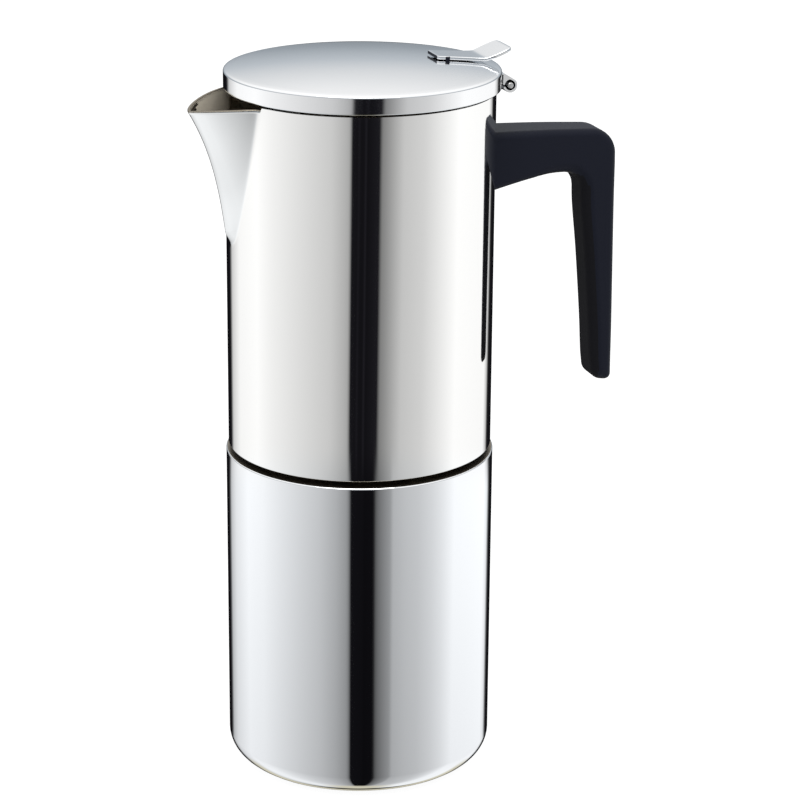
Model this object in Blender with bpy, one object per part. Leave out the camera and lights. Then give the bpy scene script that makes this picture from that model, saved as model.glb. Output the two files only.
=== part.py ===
"""A cylindrical stovetop moka pot in polished steel, in its own frame.

The origin is the middle of the base on the pot's axis and +Z is up. The spout points along -X, the
handle along +X, and the safety valve along +Y. Lengths below are in millimetres, and MM turns them
into metres where a mesh is made.
"""

import math

import bmesh
import bpy
from mathutils import Matrix, Vector

MM = 0.001
GAP = 0.3  # between pieces that touch
BIG_ROUND, MID_ROUND, SMALL_ROUND = 60, 40, 20  # sides of a turned piece

# Boiler, the lower vessel
BOILER_R, BOILER_TOP, BOILER_WALL = 45.0, 111.0, 1.3
BOILER_BOTTOM, BOTTOM_EDGE_R, TOP_EDGE_R = 0.9, 7.6, 0.5
BASE_DISC_R = 34.0
NECK_IN_R, NECK_ROOT_R, NECK_CREST_R = 35.6, 37.6, 38.4
NECK_TOP = 121.5
THREAD_PITCH = 3.0
VALVE_Z, VALVE_HOLE_R = 84.0, 4.3

# Funnel, gasket and filter plate
BASKET_R, BASKET_WALL, BASKET_FLOOR = 34.6, 0.8, 98.0
FUNNEL_FLANGE_R, FUNNEL_FLANGE_T = 37.4, 0.8
STEM_R, STEM_WALL, STEM_BOTTOM = 5.5, 0.8, 9.0
GASKET_IN_R, GASKET_OUT_R, GASKET_T = 33.2, 38.2, 2.5
PLATE_R, PLATE_T = 38.0, 0.8

# Jug, the upper vessel
JUG_R, JUG_WALL, JUG_BOTTOM, JUG_RIM = 44.2, 1.2, 112.9, 238.0
JUG_EDGE_R, JUG_FLANGE_R = 0.6, 41.7  # its foot is turned in to the flange radius
COLLAR_CREST_R, COLLAR_ROOT_R, COLLAR_OUT_R = 38.7, 39.5, 41.4
FLOOR_T, FLOOR_HOLE_R = 1.2, 10.0
COLUMN_R, COLUMN_WALL, COLUMN_TOP = 6.5, 1.0, 192.0
CAP_WALL, CAP_TOP = 0.8, 203.0

# Spout, drawn out of the jug's wall
SPOUT_FOOT_Z, SPOUT_TIP_Z, SPOUT_LIP_Z = 184.0, 229.2, 232.6
SPOUT_REACH, SPOUT_KICK = 13.9, 1.2
SPOUT_HALF_ANGLE = math.radians(25.0)
RIM_STEP_ANGLE = math.radians(31.0)

# Lid, its lever and its hinge
LID_R, LID_WALL, LID_SKIRT, LID_EDGE, LID_DOME = 45.3, 0.8, 234.0, 240.0, 2.9
LID_OFFSET, LID_EDGE_R = 0.6, 0.8
LEVER_START, LEVER_BEND, LEVER_END = 24.5, 41.0, 50.0
LEVER_W, LEVER_T, LEVER_TILT, LEVER_RISE = 11.4, 0.9, math.radians(21.0), 0.4
HINGE_X, HINGE_Z, HINGE_PIN_R = 48.8, 233.0, 1.2
KNUCKLE_IN_R, KNUCKLE_OUT_R, KNUCKLE_HALF, KNUCKLE_MIDDLE = 1.5, 2.4, 8.5, 3.2
BRACKET_LOW, LEAF_T, LEAF_RISE = 222.0, 0.9, 4.2

# Handle
ROOT_X, ROOT_W, TIP_W, TIP_X = 42.5, 18.0, 14.0, 88.0
ARM_TOP, ARM_TOP_END, ARM_ROOT_LOW, ARM_LOW = 217.3, 216.1, 197.6, 201.5
GRIP_LOW = 127.5
TONGUE_Z, TONGUE_H, TONGUE_W, TONGUE_END = 207.5, 5.0, 6.0, 64.0
FOOT_T, FOOT_HALF_W, FOOT_HALF_H = 1.0, 5.0, 6.0  # the bracket's foot on the jug's wall
SCREW_X, SCREW_R, SCREW_HEAD_R = 56.0, 1.6, 3.0


def clear_scene():
    for thing in list(bpy.data.objects):
        bpy.data.objects.remove(thing, do_unlink=True)


def make_material(name, colour, roughness, metallic):
    made = bpy.data.materials.new(name)
    made.use_nodes = True
    shader = made.node_tree.nodes["Principled BSDF"]
    shader.inputs["Base Color"].default_value = (*colour, 1.0)
    shader.inputs["Roughness"].default_value = roughness
    shader.inputs["Metallic"].default_value = metallic
    return made


def object_from(name, bm, material, cutter=False):
    """An object of this bmesh, whose points are in millimetres, with its faces pointing out."""
    bmesh.ops.scale(bm, vec=(MM, MM, MM), verts=bm.verts)
    bmesh.ops.remove_doubles(bm, verts=bm.verts, dist=1e-7)
    bmesh.ops.recalc_face_normals(bm, faces=bm.faces)
    mesh = bpy.data.meshes.new(name)
    bm.to_mesh(mesh)
    bm.free()
    mesh.shade_smooth()
    mesh.set_sharp_from_angle(angle=math.radians(32))
    made = bpy.data.objects.new(name, mesh)
    bpy.context.scene.collection.objects.link(made)
    if material:
        mesh.materials.append(material)
    if cutter:
        made.hide_render = True
        made.display_type = "WIRE"
    return made


def lathe(name, profile_at, material, angles=MID_ROUND, cutter=False):
    """Turns a closed profile of (radius, height) points about +Z. It may change with the angle."""
    if isinstance(angles, int):
        angles = [2 * math.pi * step / angles for step in range(angles)]
    bm = bmesh.new()
    rings = []
    for angle in angles:
        points = profile_at(angle) if callable(profile_at) else profile_at
        across = Vector((math.cos(angle), math.sin(angle), 0))
        rings.append([bm.verts.new(across * r + Vector((0, 0, z))) for r, z in points])
    for here, there in zip(rings, rings[1:] + rings[:1]):
        for i in range(len(here)):
            bm.faces.new((here[i - 1], there[i - 1], there[i], here[i]))
    return object_from(name, bm, material, cutter)


def arc(centre, radius, start, end, steps):
    """Points on an arc from start to end, in degrees."""
    turns = [math.radians(start + (end - start) * i / steps) for i in range(steps + 1)]
    return [(centre[0] + radius * math.cos(t), centre[1] + radius * math.sin(t)) for t in turns]


def box(name, low, high, material, cutter=False, bevel=0.0):
    bm = bmesh.new()
    bmesh.ops.create_cube(bm, size=1.0)
    size = Vector(high) - Vector(low)
    bmesh.ops.scale(bm, vec=size, verts=bm.verts)
    bmesh.ops.translate(bm, vec=(Vector(low) + Vector(high)) / 2, verts=bm.verts)
    made = object_from(name, bm, material, cutter)
    if bevel:
        round_edges(made, bevel)
    return made


def round_edges(thing, width, segments=2, angle=40):
    bevel = thing.modifiers.new("edges", "BEVEL")
    bevel.width = width * MM
    bevel.segments = segments
    bevel.limit_method = "ANGLE"
    bevel.angle_limit = math.radians(angle)


def cylinders(name, centres, radius, low, high, sides, material=None, cutter=True):
    """Upright cylinders at these (x, y) centres, in one mesh."""
    bm = bmesh.new()
    for x, y in centres:
        place = Matrix.Translation((x, y, (low + high) / 2))
        bmesh.ops.create_cone(
            bm, cap_ends=True, segments=sides, radius1=radius, radius2=radius,
            depth=high - low, matrix=place,
        )
    return object_from(name, bm, material, cutter)


def turn(thing, rotation, move=(0, 0, 0)):
    """Turns a mesh made about +Z onto another axis, then moves it by millimetres."""
    thing.data.transform(Matrix.Translation(Vector(move) * MM) @ rotation)
    return thing


def combine(target, other, operation):
    step = target.modifiers.new(operation.lower(), "BOOLEAN")
    step.operation = operation
    step.object = other
    step.solver = "EXACT"


def cut(target, cutter):
    combine(target, cutter, "DIFFERENCE")


def join(target, other):
    other.hide_render = True
    other.display_type = "WIRE"
    combine(target, other, "UNION")


def hole_rings(step, counts):
    """Centres of holes on rings around one in the middle."""
    centres = [(0.0, 0.0)]
    for ring, count in enumerate(counts, start=1):
        for i in range(count):
            angle = 2 * math.pi * (i + 0.5 * (ring % 2)) / count
            centres.append((ring * step * math.cos(angle), ring * step * math.sin(angle)))
    return centres


TO_Y = Matrix.Rotation(math.radians(-90), 4, "X")  # +Z to +Y


def boiler_profile():
    edge = BOTTOM_EDGE_R
    outer = arc((BOILER_R - edge, BOILER_BOTTOM + edge), edge, -90, 0, 5)
    outer += arc((BOILER_R - TOP_EDGE_R, BOILER_TOP - TOP_EDGE_R), TOP_EDGE_R, 0, 90, 2)
    outer.append((NECK_IN_R, BOILER_TOP))
    inside_r = BOILER_R - BOILER_WALL
    inner = [(NECK_IN_R, BOILER_TOP - BOILER_WALL), (inside_r, BOILER_TOP - BOILER_WALL)]
    inner += arc((inside_r - 5.7, BOILER_BOTTOM + BOILER_WALL + 5.7), 5.7, 0, -90, 3)
    return [(0, BOILER_BOTTOM), *outer, *inner, (0, BOILER_BOTTOM + BOILER_WALL)]


def ramp(value):
    """0 to 1 and back as value runs through one pitch, with flat roots and crests."""
    part = value % 1.0
    return min(1.0, max(0.0, 1.5 - abs(part - 0.5) * 5.0))


def threaded_ring(name, low, high, plain_r, root_r, crest_r, material):
    """A ring with a one-start thread on the side that faces crest_r."""
    rows = int(4 * (high - low) / THREAD_PITCH)

    def profile_at(angle):
        threaded = []
        for row in range(rows + 1):
            z = low + (high - low) * row / rows
            fade = min(1.0, row / 2, (rows - row) / 2)
            height = fade * ramp(z / THREAD_PITCH - angle / (2 * math.pi))
            threaded.append((root_r + (crest_r - root_r) * height, z))
        return [(plain_r, high), (plain_r, low), *threaded]

    return lathe(name, profile_at, material)


def make_boiler(steel, brass, rubber):
    shell = lathe("boiler_shell", boiler_profile(), steel, BIG_ROUND)
    hole = cylinders("valve_hole", [(0, 0)], VALVE_HOLE_R, 30, 60, SMALL_ROUND)
    cut(shell, turn(hole, TO_Y, (0, 0, VALVE_Z)))
    disc = [(0, 0), *arc((BASE_DISC_R - 0.3, 0.3), 0.3, -90, 0, 2)]
    disc += [(BASE_DISC_R, BOILER_BOTTOM - GAP), (0, BOILER_BOTTOM - GAP)]
    lathe("base_disc", disc, steel, BIG_ROUND)
    low = BOILER_TOP + GAP
    threaded_ring("boiler_neck", low, NECK_TOP, NECK_IN_R, NECK_ROOT_R, NECK_CREST_R, steel)
    make_valve(steel, brass, rubber)


def along_y(name, profile, material, sides=SMALL_ROUND):
    """A piece turned about the valve's axis, from a profile of (radius, y) points."""
    made = lathe(name, profile, material, sides)
    return turn(made, TO_Y, (0, 0, VALVE_Z))


def hexagon(name, across_flats, bore_r, low, high, material):
    """A hexagonal collar on the valve's axis, with a round bore."""
    corner = across_flats / 2 / math.cos(math.radians(30))
    body = cylinders(name, [(0, 0)], corner, low, high, 6, material, cutter=False)
    turn(body, TO_Y, (0, 0, VALVE_Z))
    bore = cylinders(name + "_bore", [(0, 0)], bore_r, low - 1, high + 1, SMALL_ROUND)
    cut(body, turn(bore, TO_Y, (0, 0, VALVE_Z)))
    return body


# Places along the valve's axis, from the boiler's axis
VALVE_SEAT, VALVE_CHAMBER, VALVE_MOUTH = 45.8, 47.0, 54.5
VALVE_STEM_R, VALVE_BODY_R, VALVE_INNER_END = 4.0, 5.0, 37.5
PLUG_R, CHAMBER_R, PIN_R, PIN_BORE_R = 2.9, 3.3, 1.4, 1.7
PLUG_T, PIN_END, VALVE_CAP_T = 1.8, 57.5, 1.2


def make_valve(steel, brass, rubber):
    body = along_y("valve_body", [
        (PIN_BORE_R, VALVE_INNER_END), (VALVE_STEM_R, VALVE_INNER_END), (VALVE_STEM_R, VALVE_SEAT),
        (VALVE_BODY_R, VALVE_SEAT), (VALVE_BODY_R, VALVE_MOUTH - 0.5), (4.5, VALVE_MOUTH),
        (CHAMBER_R, VALVE_MOUTH), (CHAMBER_R, VALVE_CHAMBER), (PIN_BORE_R, VALVE_CHAMBER),
    ], brass)
    flats = hexagon("valve_flats", 12.4, 4.6, VALVE_SEAT, VALVE_SEAT + 3.6, brass)
    join(body, flats)
    hexagon("valve_nut", 11.0, VALVE_STEM_R + GAP, 38.6, 41.4, brass)
    along_y("valve_washer", [
        (VALVE_STEM_R + GAP, 41.7), (5.8, 41.7), (5.8, 43.0), (VALVE_STEM_R + GAP, 43.0),
    ], rubber)
    plug = VALVE_CHAMBER + GAP
    along_y("valve_pin", [
        (0, plug), (PIN_BORE_R - 0.4, plug), (PLUG_R, plug + 0.8), (PLUG_R, plug + PLUG_T),
        (PIN_R, plug + PLUG_T), (PIN_R, PIN_END - 0.4), (PIN_R - 0.4, PIN_END), (0, PIN_END),
    ], steel)
    ring_low = VALVE_MOUTH - VALVE_CAP_T
    along_y("valve_end_ring", [
        (PIN_BORE_R, ring_low), (CHAMBER_R - GAP, ring_low),
        (CHAMBER_R - GAP, VALVE_MOUTH), (PIN_BORE_R, VALVE_MOUTH),
    ], brass)
    make_spring(plug + PLUG_T + 0.2, ring_low - 0.2, steel)


def make_spring(low, high, material):
    wire, coil_r, turns, per_turn = 0.28, 2.4, 4, 12
    curve = bpy.data.curves.new("valve_spring", "CURVE")
    curve.dimensions = "3D"
    curve.bevel_depth = wire * MM
    curve.bevel_resolution = 1
    curve.use_fill_caps = True
    line = curve.splines.new("POLY")
    line.points.add(turns * per_turn)
    for i, point in enumerate(line.points):
        angle = 2 * math.pi * i / per_turn
        y = low + wire + (high - low - 2 * wire) * i / (turns * per_turn)
        place = Vector((coil_r * math.cos(angle), y, VALVE_Z + coil_r * math.sin(angle)))
        point.co = (*(place * MM), 1)
    curve.materials.append(material)
    made = bpy.data.objects.new("valve_spring", curve)
    bpy.context.scene.collection.objects.link(made)


def make_funnel(steel):
    flange_low = NECK_TOP + GAP
    flange_high = flange_low + FUNNEL_FLANGE_T
    inside = BASKET_R - BASKET_WALL
    floor = BASKET_FLOOR
    stem_in = STEM_R - STEM_WALL
    lathe("funnel", [
        (inside, flange_high), (FUNNEL_FLANGE_R, flange_high), (FUNNEL_FLANGE_R, flange_low),
        (BASKET_R, flange_low), (BASKET_R, floor), (STEM_R + 4, floor - 3), (STEM_R, floor - 8),
        (STEM_R, STEM_BOTTOM), (stem_in, STEM_BOTTOM), (stem_in, floor - 8),
        (stem_in + 4, floor - 3 + BASKET_WALL), (inside - 3, floor + BASKET_WALL),
        (inside, floor + BASKET_WALL),
    ][::-1], steel, BIG_ROUND)
    low = floor + BASKET_WALL + GAP
    disc = lathe("funnel_filter_disc", [
        (0, low), (inside - GAP, low), (inside - GAP, low + 0.8), (0, low + 0.8),
    ], steel)
    holes = cylinders("disc_holes", hole_rings(8.0, (6, 12, 18)), 1.1, low - 1, low + 2, 6)
    cut(disc, holes)


def make_seal(steel, rubber):
    low = NECK_TOP + GAP + FUNNEL_FLANGE_T + GAP
    high = low + GASKET_T
    lathe("gasket", [
        (GASKET_IN_R, low), (GASKET_OUT_R, low), (GASKET_OUT_R, high), (GASKET_IN_R, high),
    ], rubber)
    low = high + GAP
    plate = lathe("filter_plate", [
        (0, low), (PLATE_R, low), (PLATE_R, low + PLATE_T), (0, low + PLATE_T),
    ], steel)
    holes = cylinders("plate_holes", hole_rings(8.4, (6, 12, 18)), 1.1, low - 1, low + 2, 6)
    cut(plate, holes)
    return low + PLATE_T + GAP


def spout_reach(z):
    """How far the spout's ridge stands out of the jug's wall at this height."""
    rise = min(1.0, max(0.0, (z - SPOUT_FOOT_Z) / (SPOUT_TIP_Z - SPOUT_FOOT_Z)))
    kick = min(1.0, rise / 0.1)
    body = SPOUT_REACH - SPOUT_KICK
    return SPOUT_KICK * kick * kick * (3 - 2 * kick) + body * (0.45 * rise + 0.55 * rise**3)


def from_spout(angle):
    """The angle away from the spout's ridge, which points along -X."""
    return abs((angle % (2 * math.pi)) - math.pi)


def rim_height(angle):
    """The jug's rim is under the lid all round, and drops to the spout's lips."""
    aside = from_spout(angle)
    if aside >= RIM_STEP_ANGLE:
        return JUG_RIM
    if aside >= SPOUT_HALF_ANGLE * 1.08:
        share = (aside - SPOUT_HALF_ANGLE * 1.08) / (RIM_STEP_ANGLE - SPOUT_HALF_ANGLE * 1.08)
        return SPOUT_LIP_Z + (JUG_RIM - SPOUT_LIP_Z) * share
    share = 1 - aside / (SPOUT_HALF_ANGLE * 1.08)
    return SPOUT_LIP_Z - (SPOUT_LIP_Z - SPOUT_TIP_Z) * share**1.5


def jug_radius(angle, z):
    aside = from_spout(angle)
    rise = (z - SPOUT_FOOT_Z) / (SPOUT_TIP_Z - SPOUT_FOOT_Z)
    if rise <= 0:
        return JUG_R
    share = aside / (SPOUT_HALF_ANGLE * math.sqrt(min(1.16, max(0.01, rise))))
    return JUG_R + spout_reach(z) * max(0.0, 1.0 - math.sqrt(share * share + 0.01)) / 0.9


SPOUT_ROWS = 8
RIM_INSET, SHOULDER_Z = 0.9, 233.2  # the rim steps in to clear the lid's skirt


def jug_profile(angle):
    """The jug's wall from its turned-in foot to its rim, outside and then inside."""
    outer = [(JUG_FLANGE_R, JUG_BOTTOM)]
    outer += arc((JUG_R - JUG_EDGE_R, JUG_BOTTOM + JUG_EDGE_R), JUG_EDGE_R, -90, 0, 3)
    top = rim_height(angle)
    shoulder = min(top - 0.6, SHOULDER_Z)
    low = SPOUT_FOOT_Z - 2
    wall = [low + (shoulder - low) * i / SPOUT_ROWS for i in range(SPOUT_ROWS + 1)]
    path = [(jug_radius(angle, z), z) for z in wall]
    inset = RIM_INSET * min(1.0, max(0.0, (top - SPOUT_LIP_Z) / 0.5))
    edge_r = path[-1][0] - inset
    path += [(edge_r, shoulder + 0.3 + 0.4 * inset), (edge_r, top)]
    outer += path
    inner = [(r - JUG_WALL, z) for r, z in reversed(path[:-2])]
    inner.insert(0, (edge_r - JUG_WALL, shoulder + 0.1))
    inner.insert(0, (edge_r - JUG_WALL, top))
    inner.append((JUG_R - JUG_WALL, JUG_BOTTOM + JUG_WALL))
    inner.append((JUG_FLANGE_R, JUG_BOTTOM + JUG_WALL))
    return outer + inner


def jug_angles():
    """Angles round the jug, closer together across the spout."""
    spout = [math.pi + math.radians(a) for a in range(-32, 33, 2)]
    rest = [math.pi + math.radians(32 + 6 * i) for i in range(1, 49)]
    return spout + rest


def make_jug(steel, floor_low):
    lathe("jug_shell", jug_profile, steel, jug_angles())
    top = floor_low - GAP
    low = JUG_BOTTOM + GAP
    threaded_ring("jug_collar", low, NECK_TOP + 0.5, COLLAR_OUT_R, COLLAR_ROOT_R,
                  COLLAR_CREST_R, steel)
    seat = lathe("jug_collar_seat", [
        (COLLAR_CREST_R, NECK_TOP + 0.4), (COLLAR_OUT_R, NECK_TOP + 0.4), (COLLAR_OUT_R, top),
        (COLLAR_CREST_R, top),
    ], steel, cutter=True)
    join(bpy.data.objects["jug_collar"], seat)
    lathe("jug_floor", [
        (FLOOR_HOLE_R, floor_low), (JUG_R - JUG_WALL - GAP, floor_low),
        (JUG_R - JUG_WALL - GAP, floor_low + FLOOR_T), (FLOOR_HOLE_R, floor_low + FLOOR_T),
    ], steel)
    make_column(steel, floor_low + FLOOR_T + GAP)


def make_column(steel, foot):
    bore = COLUMN_R - COLUMN_WALL
    lathe("riser_column", [
        (FLOOR_HOLE_R, foot), (14, foot), (14, foot + 0.9), (9.5, foot + 2),
        (COLUMN_R + 0.6, foot + 10),
        (COLUMN_R, foot + 22), (COLUMN_R, COLUMN_TOP), (bore, COLUMN_TOP), (bore, foot + 22),
        (bore + 0.6, foot + 9), (8.3, foot + 2),
    ], steel, 32)
    inside = COLUMN_R + GAP
    outside = inside + CAP_WALL
    dome = arc((0, CAP_TOP - outside * 0.6), outside, 37, 90, 4)
    hollow = arc((0, CAP_TOP - outside * 0.6), inside, 90, 37, 4)
    low = COLUMN_TOP - 7
    cap = lathe("column_cap", [
        (inside, low), (outside, low), (outside, CAP_TOP - 1), *dome, *hollow,
        (inside, CAP_TOP - 1.4),
    ], steel, 32)
    for name, low, high in (
        ("cap_window_x", (-12, -2.2, COLUMN_TOP + 1.2), (12, 2.2, COLUMN_TOP + 6.5)),
        ("cap_window_y", (-2.2, -12, COLUMN_TOP + 1.2), (2.2, 12, COLUMN_TOP + 6.5)),
    ):
        cut(cap, box(name, low, high, None, cutter=True))


def lid_height(r):
    """The top of the lid's shallow dome."""
    return LID_EDGE + LID_DOME * (1 - (r / LID_R) ** 2)


def make_lid(steel):
    edge = LID_EDGE_R
    outer = [(LID_R, LID_SKIRT), *arc((LID_R - edge, LID_EDGE - edge), edge, 0, 80, 3)]
    crown = [LID_R * share for share in (0.85, 0.65, 0.4, 0.2)]
    top = [(r, lid_height(r)) for r in crown] + [(0, lid_height(0))]
    under = [(0, lid_height(0) - LID_WALL)] + [(r, lid_height(r) - LID_WALL) for r in crown[::-1]]
    under.append((LID_R - LID_WALL, LID_EDGE - LID_WALL - 0.4))
    under.append((LID_R - LID_WALL, LID_SKIRT))
    shell = lathe("lid_shell", outer + top + under, steel, BIG_ROUND)
    turn(shell, Matrix.Identity(4), (LID_OFFSET, 0, 0))


def strip(name, side_line, thickness, half_widths, material):
    """A bent strip: points of its underside as (x, z), its thickness upwards, and half widths."""
    bm = bmesh.new()
    sections = []
    for (x, z), half in zip(side_line, half_widths):
        corners = ((-half, 0), (half, 0), (half, thickness), (-half, thickness))
        sections.append([bm.verts.new((x, y, z + up)) for y, up in corners])
    for here, there in zip(sections, sections[1:]):
        for i in range(4):
            bm.faces.new((here[i - 1], there[i - 1], there[i], here[i]))
    bm.faces.new(sections[0])
    bm.faces.new(sections[-1])
    return object_from(name, bm, material)


def make_lever(steel):
    """The thumb lever: a straight strip over the lid that turns up and widens to a rounded tab."""
    def under(x):
        return lid_height(x - LID_OFFSET) + GAP
    bend_z = under(LEVER_BEND) + 0.1
    root_z = under(LEVER_START) + LEVER_RISE
    fall = (root_z - bend_z) / (LEVER_BEND - LEVER_START)
    line = [(x, bend_z + (LEVER_BEND - x) * fall) for x in (LEVER_START, 30.0, 36.0, LEVER_BEND - 1)]
    rise = math.tan(LEVER_TILT)
    half = LEVER_W / 2
    widths = [half] * 4
    for share, widening in ((0, 1.15), (0.45, 1.3), (0.72, 1.34), (0.9, 1.24), (1, 0.92)):
        x = LEVER_BEND + 1 + (LEVER_END - LEVER_BEND - 1) * share
        line.append((x, bend_z + (x - LEVER_BEND) * rise))
        widths.append(half * widening)
    strip("lid_lever", line, LEVER_T, widths, steel)


def prism(name, outline, half_at, material=None):
    """A closed (x, z) outline drawn along Y to half_at(x) on both sides."""
    bm = bmesh.new()
    near, far = [
        [bm.verts.new((x, side * half_at(x), z)) for x, z in outline] for side in (-1, 1)
    ]
    bm.faces.new(near)
    bm.faces.new(far)
    for i in range(len(near)):
        bm.faces.new((near[i - 1], near[i], far[i], far[i - 1]))
    return object_from(name, bm, material)


def knuckle(name, half, leaf_outline, material):
    """An eye round the hinge pin, with the leaf that carries it."""
    ring = lathe(name, [
        (KNUCKLE_IN_R, -half), (KNUCKLE_OUT_R, -half), (KNUCKLE_OUT_R, half), (KNUCKLE_IN_R, half),
    ], material, SMALL_ROUND)
    turn(ring, TO_Y, (HINGE_X, 0, HINGE_Z))
    join(ring, prism(name + "_leaf", leaf_outline, lambda x: half))
    return ring


def make_hinge(steel):
    side = JUG_R + GAP
    inner = HINGE_Z - KNUCKLE_IN_R - 0.1
    knuckle("hinge_bracket", KNUCKLE_MIDDLE - GAP, [
        (side, BRACKET_LOW), (side + LEAF_T, BRACKET_LOW), (side + LEAF_T, HINGE_Z - KNUCKLE_OUT_R),
        (HINGE_X, HINGE_Z - KNUCKLE_OUT_R), (HINGE_X, inner), (side, inner),
    ], steel)
    side = LID_R + LID_OFFSET + GAP
    middle = (KNUCKLE_IN_R + KNUCKLE_OUT_R) / 2
    eye = arc((HINGE_X, HINGE_Z), middle, 60, 174, 5)
    leaf = knuckle("lid_hinge_leaf", KNUCKLE_HALF, [
        (side, HINGE_Z + LEAF_RISE), (HINGE_X + 1.27, HINGE_Z + 2.03), *eye, (side, HINGE_Z + 0.2),
    ], steel)
    room = box("leaf_room", (HINGE_X - 5, -KNUCKLE_MIDDLE, HINGE_Z - 4),
               (HINGE_X + 5, KNUCKLE_MIDDLE, HINGE_Z + KNUCKLE_OUT_R + 0.6), None, cutter=True)
    cut(leaf, room)
    half = KNUCKLE_HALF + 0.4
    pin = lathe("hinge_pin", [
        (0, -half), (HINGE_PIN_R, -half), (HINGE_PIN_R, half), (0, half),
    ], steel, SMALL_ROUND)
    turn(pin, TO_Y, (HINGE_X, 0, HINGE_Z))


def handle_outline():
    """The handle's side outline as (x, z): a level arm and a slim grip that hangs from its end."""
    top = [(ROOT_X, ARM_TOP), *arc((TIP_X - 9.1, ARM_TOP_END - 9.2), 9.2, 88, 6, 6)]
    outer = [(TIP_X + 0.15, 190.0), (TIP_X + 0.45, 165.0), (TIP_X + 0.7, 145.0)]
    foot = arc((TIP_X - 1.7, GRIP_LOW + 2.4), 2.4, 0, -90, 3)
    foot += arc((TIP_X - 2.6, GRIP_LOW + 4.2), 4.2, -100, -172, 4)
    inner = [(80.9, 137.0), (80.0, 152.0), (78.3, 172.0), (76.6, 188.0)]
    corner = arc((69.6, ARM_LOW - 6.6), 6.6, 8, 90, 5)
    return top + outer + foot + inner + corner + [(63.0, ARM_LOW), (ROOT_X, ARM_ROOT_LOW)]


def make_handle(plastic, steel):
    def half_at(x):
        return (ROOT_W + (TIP_W - ROOT_W) * (x - ROOT_X) / (TIP_X - ROOT_X)) / 2
    grip = prism("handle_grip", handle_outline(), half_at, plastic)
    round_edges(grip, 1.8, 2, 60)
    seat = cylinders("jug_clearance", [(0, 0)], JUG_R + GAP, 190, 225, 96)
    cut(grip, seat)
    foot = box("foot_recess", (ROOT_X - 3, -FOOT_HALF_W - GAP, TONGUE_Z - FOOT_HALF_H - GAP),
               (JUG_R + FOOT_T + 2 * GAP, FOOT_HALF_W + GAP, TONGUE_Z + FOOT_HALF_H + GAP),
               None, cutter=True)
    cut(grip, foot)
    half = TONGUE_W / 2 + GAP
    pocket = box("tongue_pocket", (ROOT_X - 3, -half, TONGUE_Z - TONGUE_H / 2 - GAP),
                 (TONGUE_END + GAP, half, TONGUE_Z + TONGUE_H / 2 + GAP), None, cutter=True)
    cut(grip, pocket)
    hole = cylinders("screw_hole", [(SCREW_X, 0)], SCREW_R + GAP, 190, TONGUE_Z, SMALL_ROUND)
    cut(grip, hole)
    recess = cylinders("screw_recess", [(SCREW_X, 0)], SCREW_HEAD_R + GAP, 190, 202.4, SMALL_ROUND)
    cut(grip, recess)
    make_bracket(steel)


def make_bracket(steel):
    foot_x = JUG_R + GAP
    bracket = box("handle_bracket", (foot_x, -FOOT_HALF_W, TONGUE_Z - FOOT_HALF_H),
                  (foot_x + FOOT_T, FOOT_HALF_W, TONGUE_Z + FOOT_HALF_H), steel)
    tongue = box("handle_tongue", (foot_x + 0.5, -TONGUE_W / 2, TONGUE_Z - TONGUE_H / 2),
                 (TONGUE_END, TONGUE_W / 2, TONGUE_Z + TONGUE_H / 2), None)
    join(bracket, tongue)
    tapped = cylinders("tongue_hole", [(SCREW_X, 0)], SCREW_R + GAP, 200, 215, SMALL_ROUND)
    cut(bracket, tapped)
    screw = lathe("handle_screw", [
        (0, 200.0), (SCREW_HEAD_R, 200.0), (SCREW_HEAD_R, 201.2), (SCREW_R, 202.1),
        (SCREW_R, 209.6), (0, 209.6),
    ], steel, SMALL_ROUND)
    turn(screw, Matrix.Identity(4), (SCREW_X, 0, 0))
    slot = box("screw_slot", (SCREW_X - 4, -0.4, 199), (SCREW_X + 4, 0.4, 200.7), None, cutter=True)
    cut(screw, slot)


# The pieces of each moving body, and a point on the axis that they move along or about
BODIES = {
    "valve_pin": ((0, VALVE_SEAT, VALVE_Z), ["valve_pin"]),
    "funnel": ((0, 0, NECK_TOP), ["funnel", "funnel_filter_disc"]),
    "gasket": ((0, 0, NECK_TOP), ["gasket"]),
    "filter_plate": ((0, 0, NECK_TOP), ["filter_plate"]),
    "jug": ((0, 0, NECK_TOP), [
        "jug_shell", "jug_collar", "jug_floor", "riser_column", "column_cap", "handle_bracket",
        "handle_grip", "handle_screw", "hinge_bracket", "hinge_pin",
    ]),
    "lid": ((HINGE_X, 0, HINGE_Z), ["lid_shell", "lid_lever", "lid_hinge_leaf"]),
}


def gather_bodies():
    """Moves each moving piece's origin to its joint, and parents it to an empty there."""
    for name, (pivot, pieces) in BODIES.items():
        place = Vector(pivot) * MM
        empty = bpy.data.objects.new(name + "_joint", None)
        empty.location = place
        bpy.context.scene.collection.objects.link(empty)
        for piece in pieces:
            thing = bpy.data.objects[piece]
            thing.data.transform(Matrix.Translation(-place))
            thing.parent = empty


def main():
    clear_scene()
    steel = make_material("polished_steel", (0.80, 0.80, 0.81), 0.12, 1.0)
    satin = make_material("satin_steel", (0.66, 0.66, 0.67), 0.35, 1.0)
    brass = make_material("brass", (0.78, 0.60, 0.30), 0.25, 1.0)
    rubber = make_material("silicone", (0.85, 0.84, 0.80), 0.6, 0.0)
    plastic = make_material("black_plastic", (0.02, 0.021, 0.024), 0.45, 0.0)
    make_boiler(steel, brass, rubber)
    make_funnel(satin)
    floor_low = make_seal(satin, rubber)
    make_jug(steel, floor_low)
    make_lid(steel)
    make_lever(steel)
    make_hinge(steel)
    make_handle(plastic, satin)
    gather_bodies()


main()
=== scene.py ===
"""Studio scene of a polished steel moka pot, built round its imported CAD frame.

Lengths are in millimetres and MM turns them into metres where a mesh is made. The spout points
along -X, the handle along +X and the safety valve along +Y.
"""

import math

import bmesh
import bpy
from mathutils import Matrix, Vector


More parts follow.
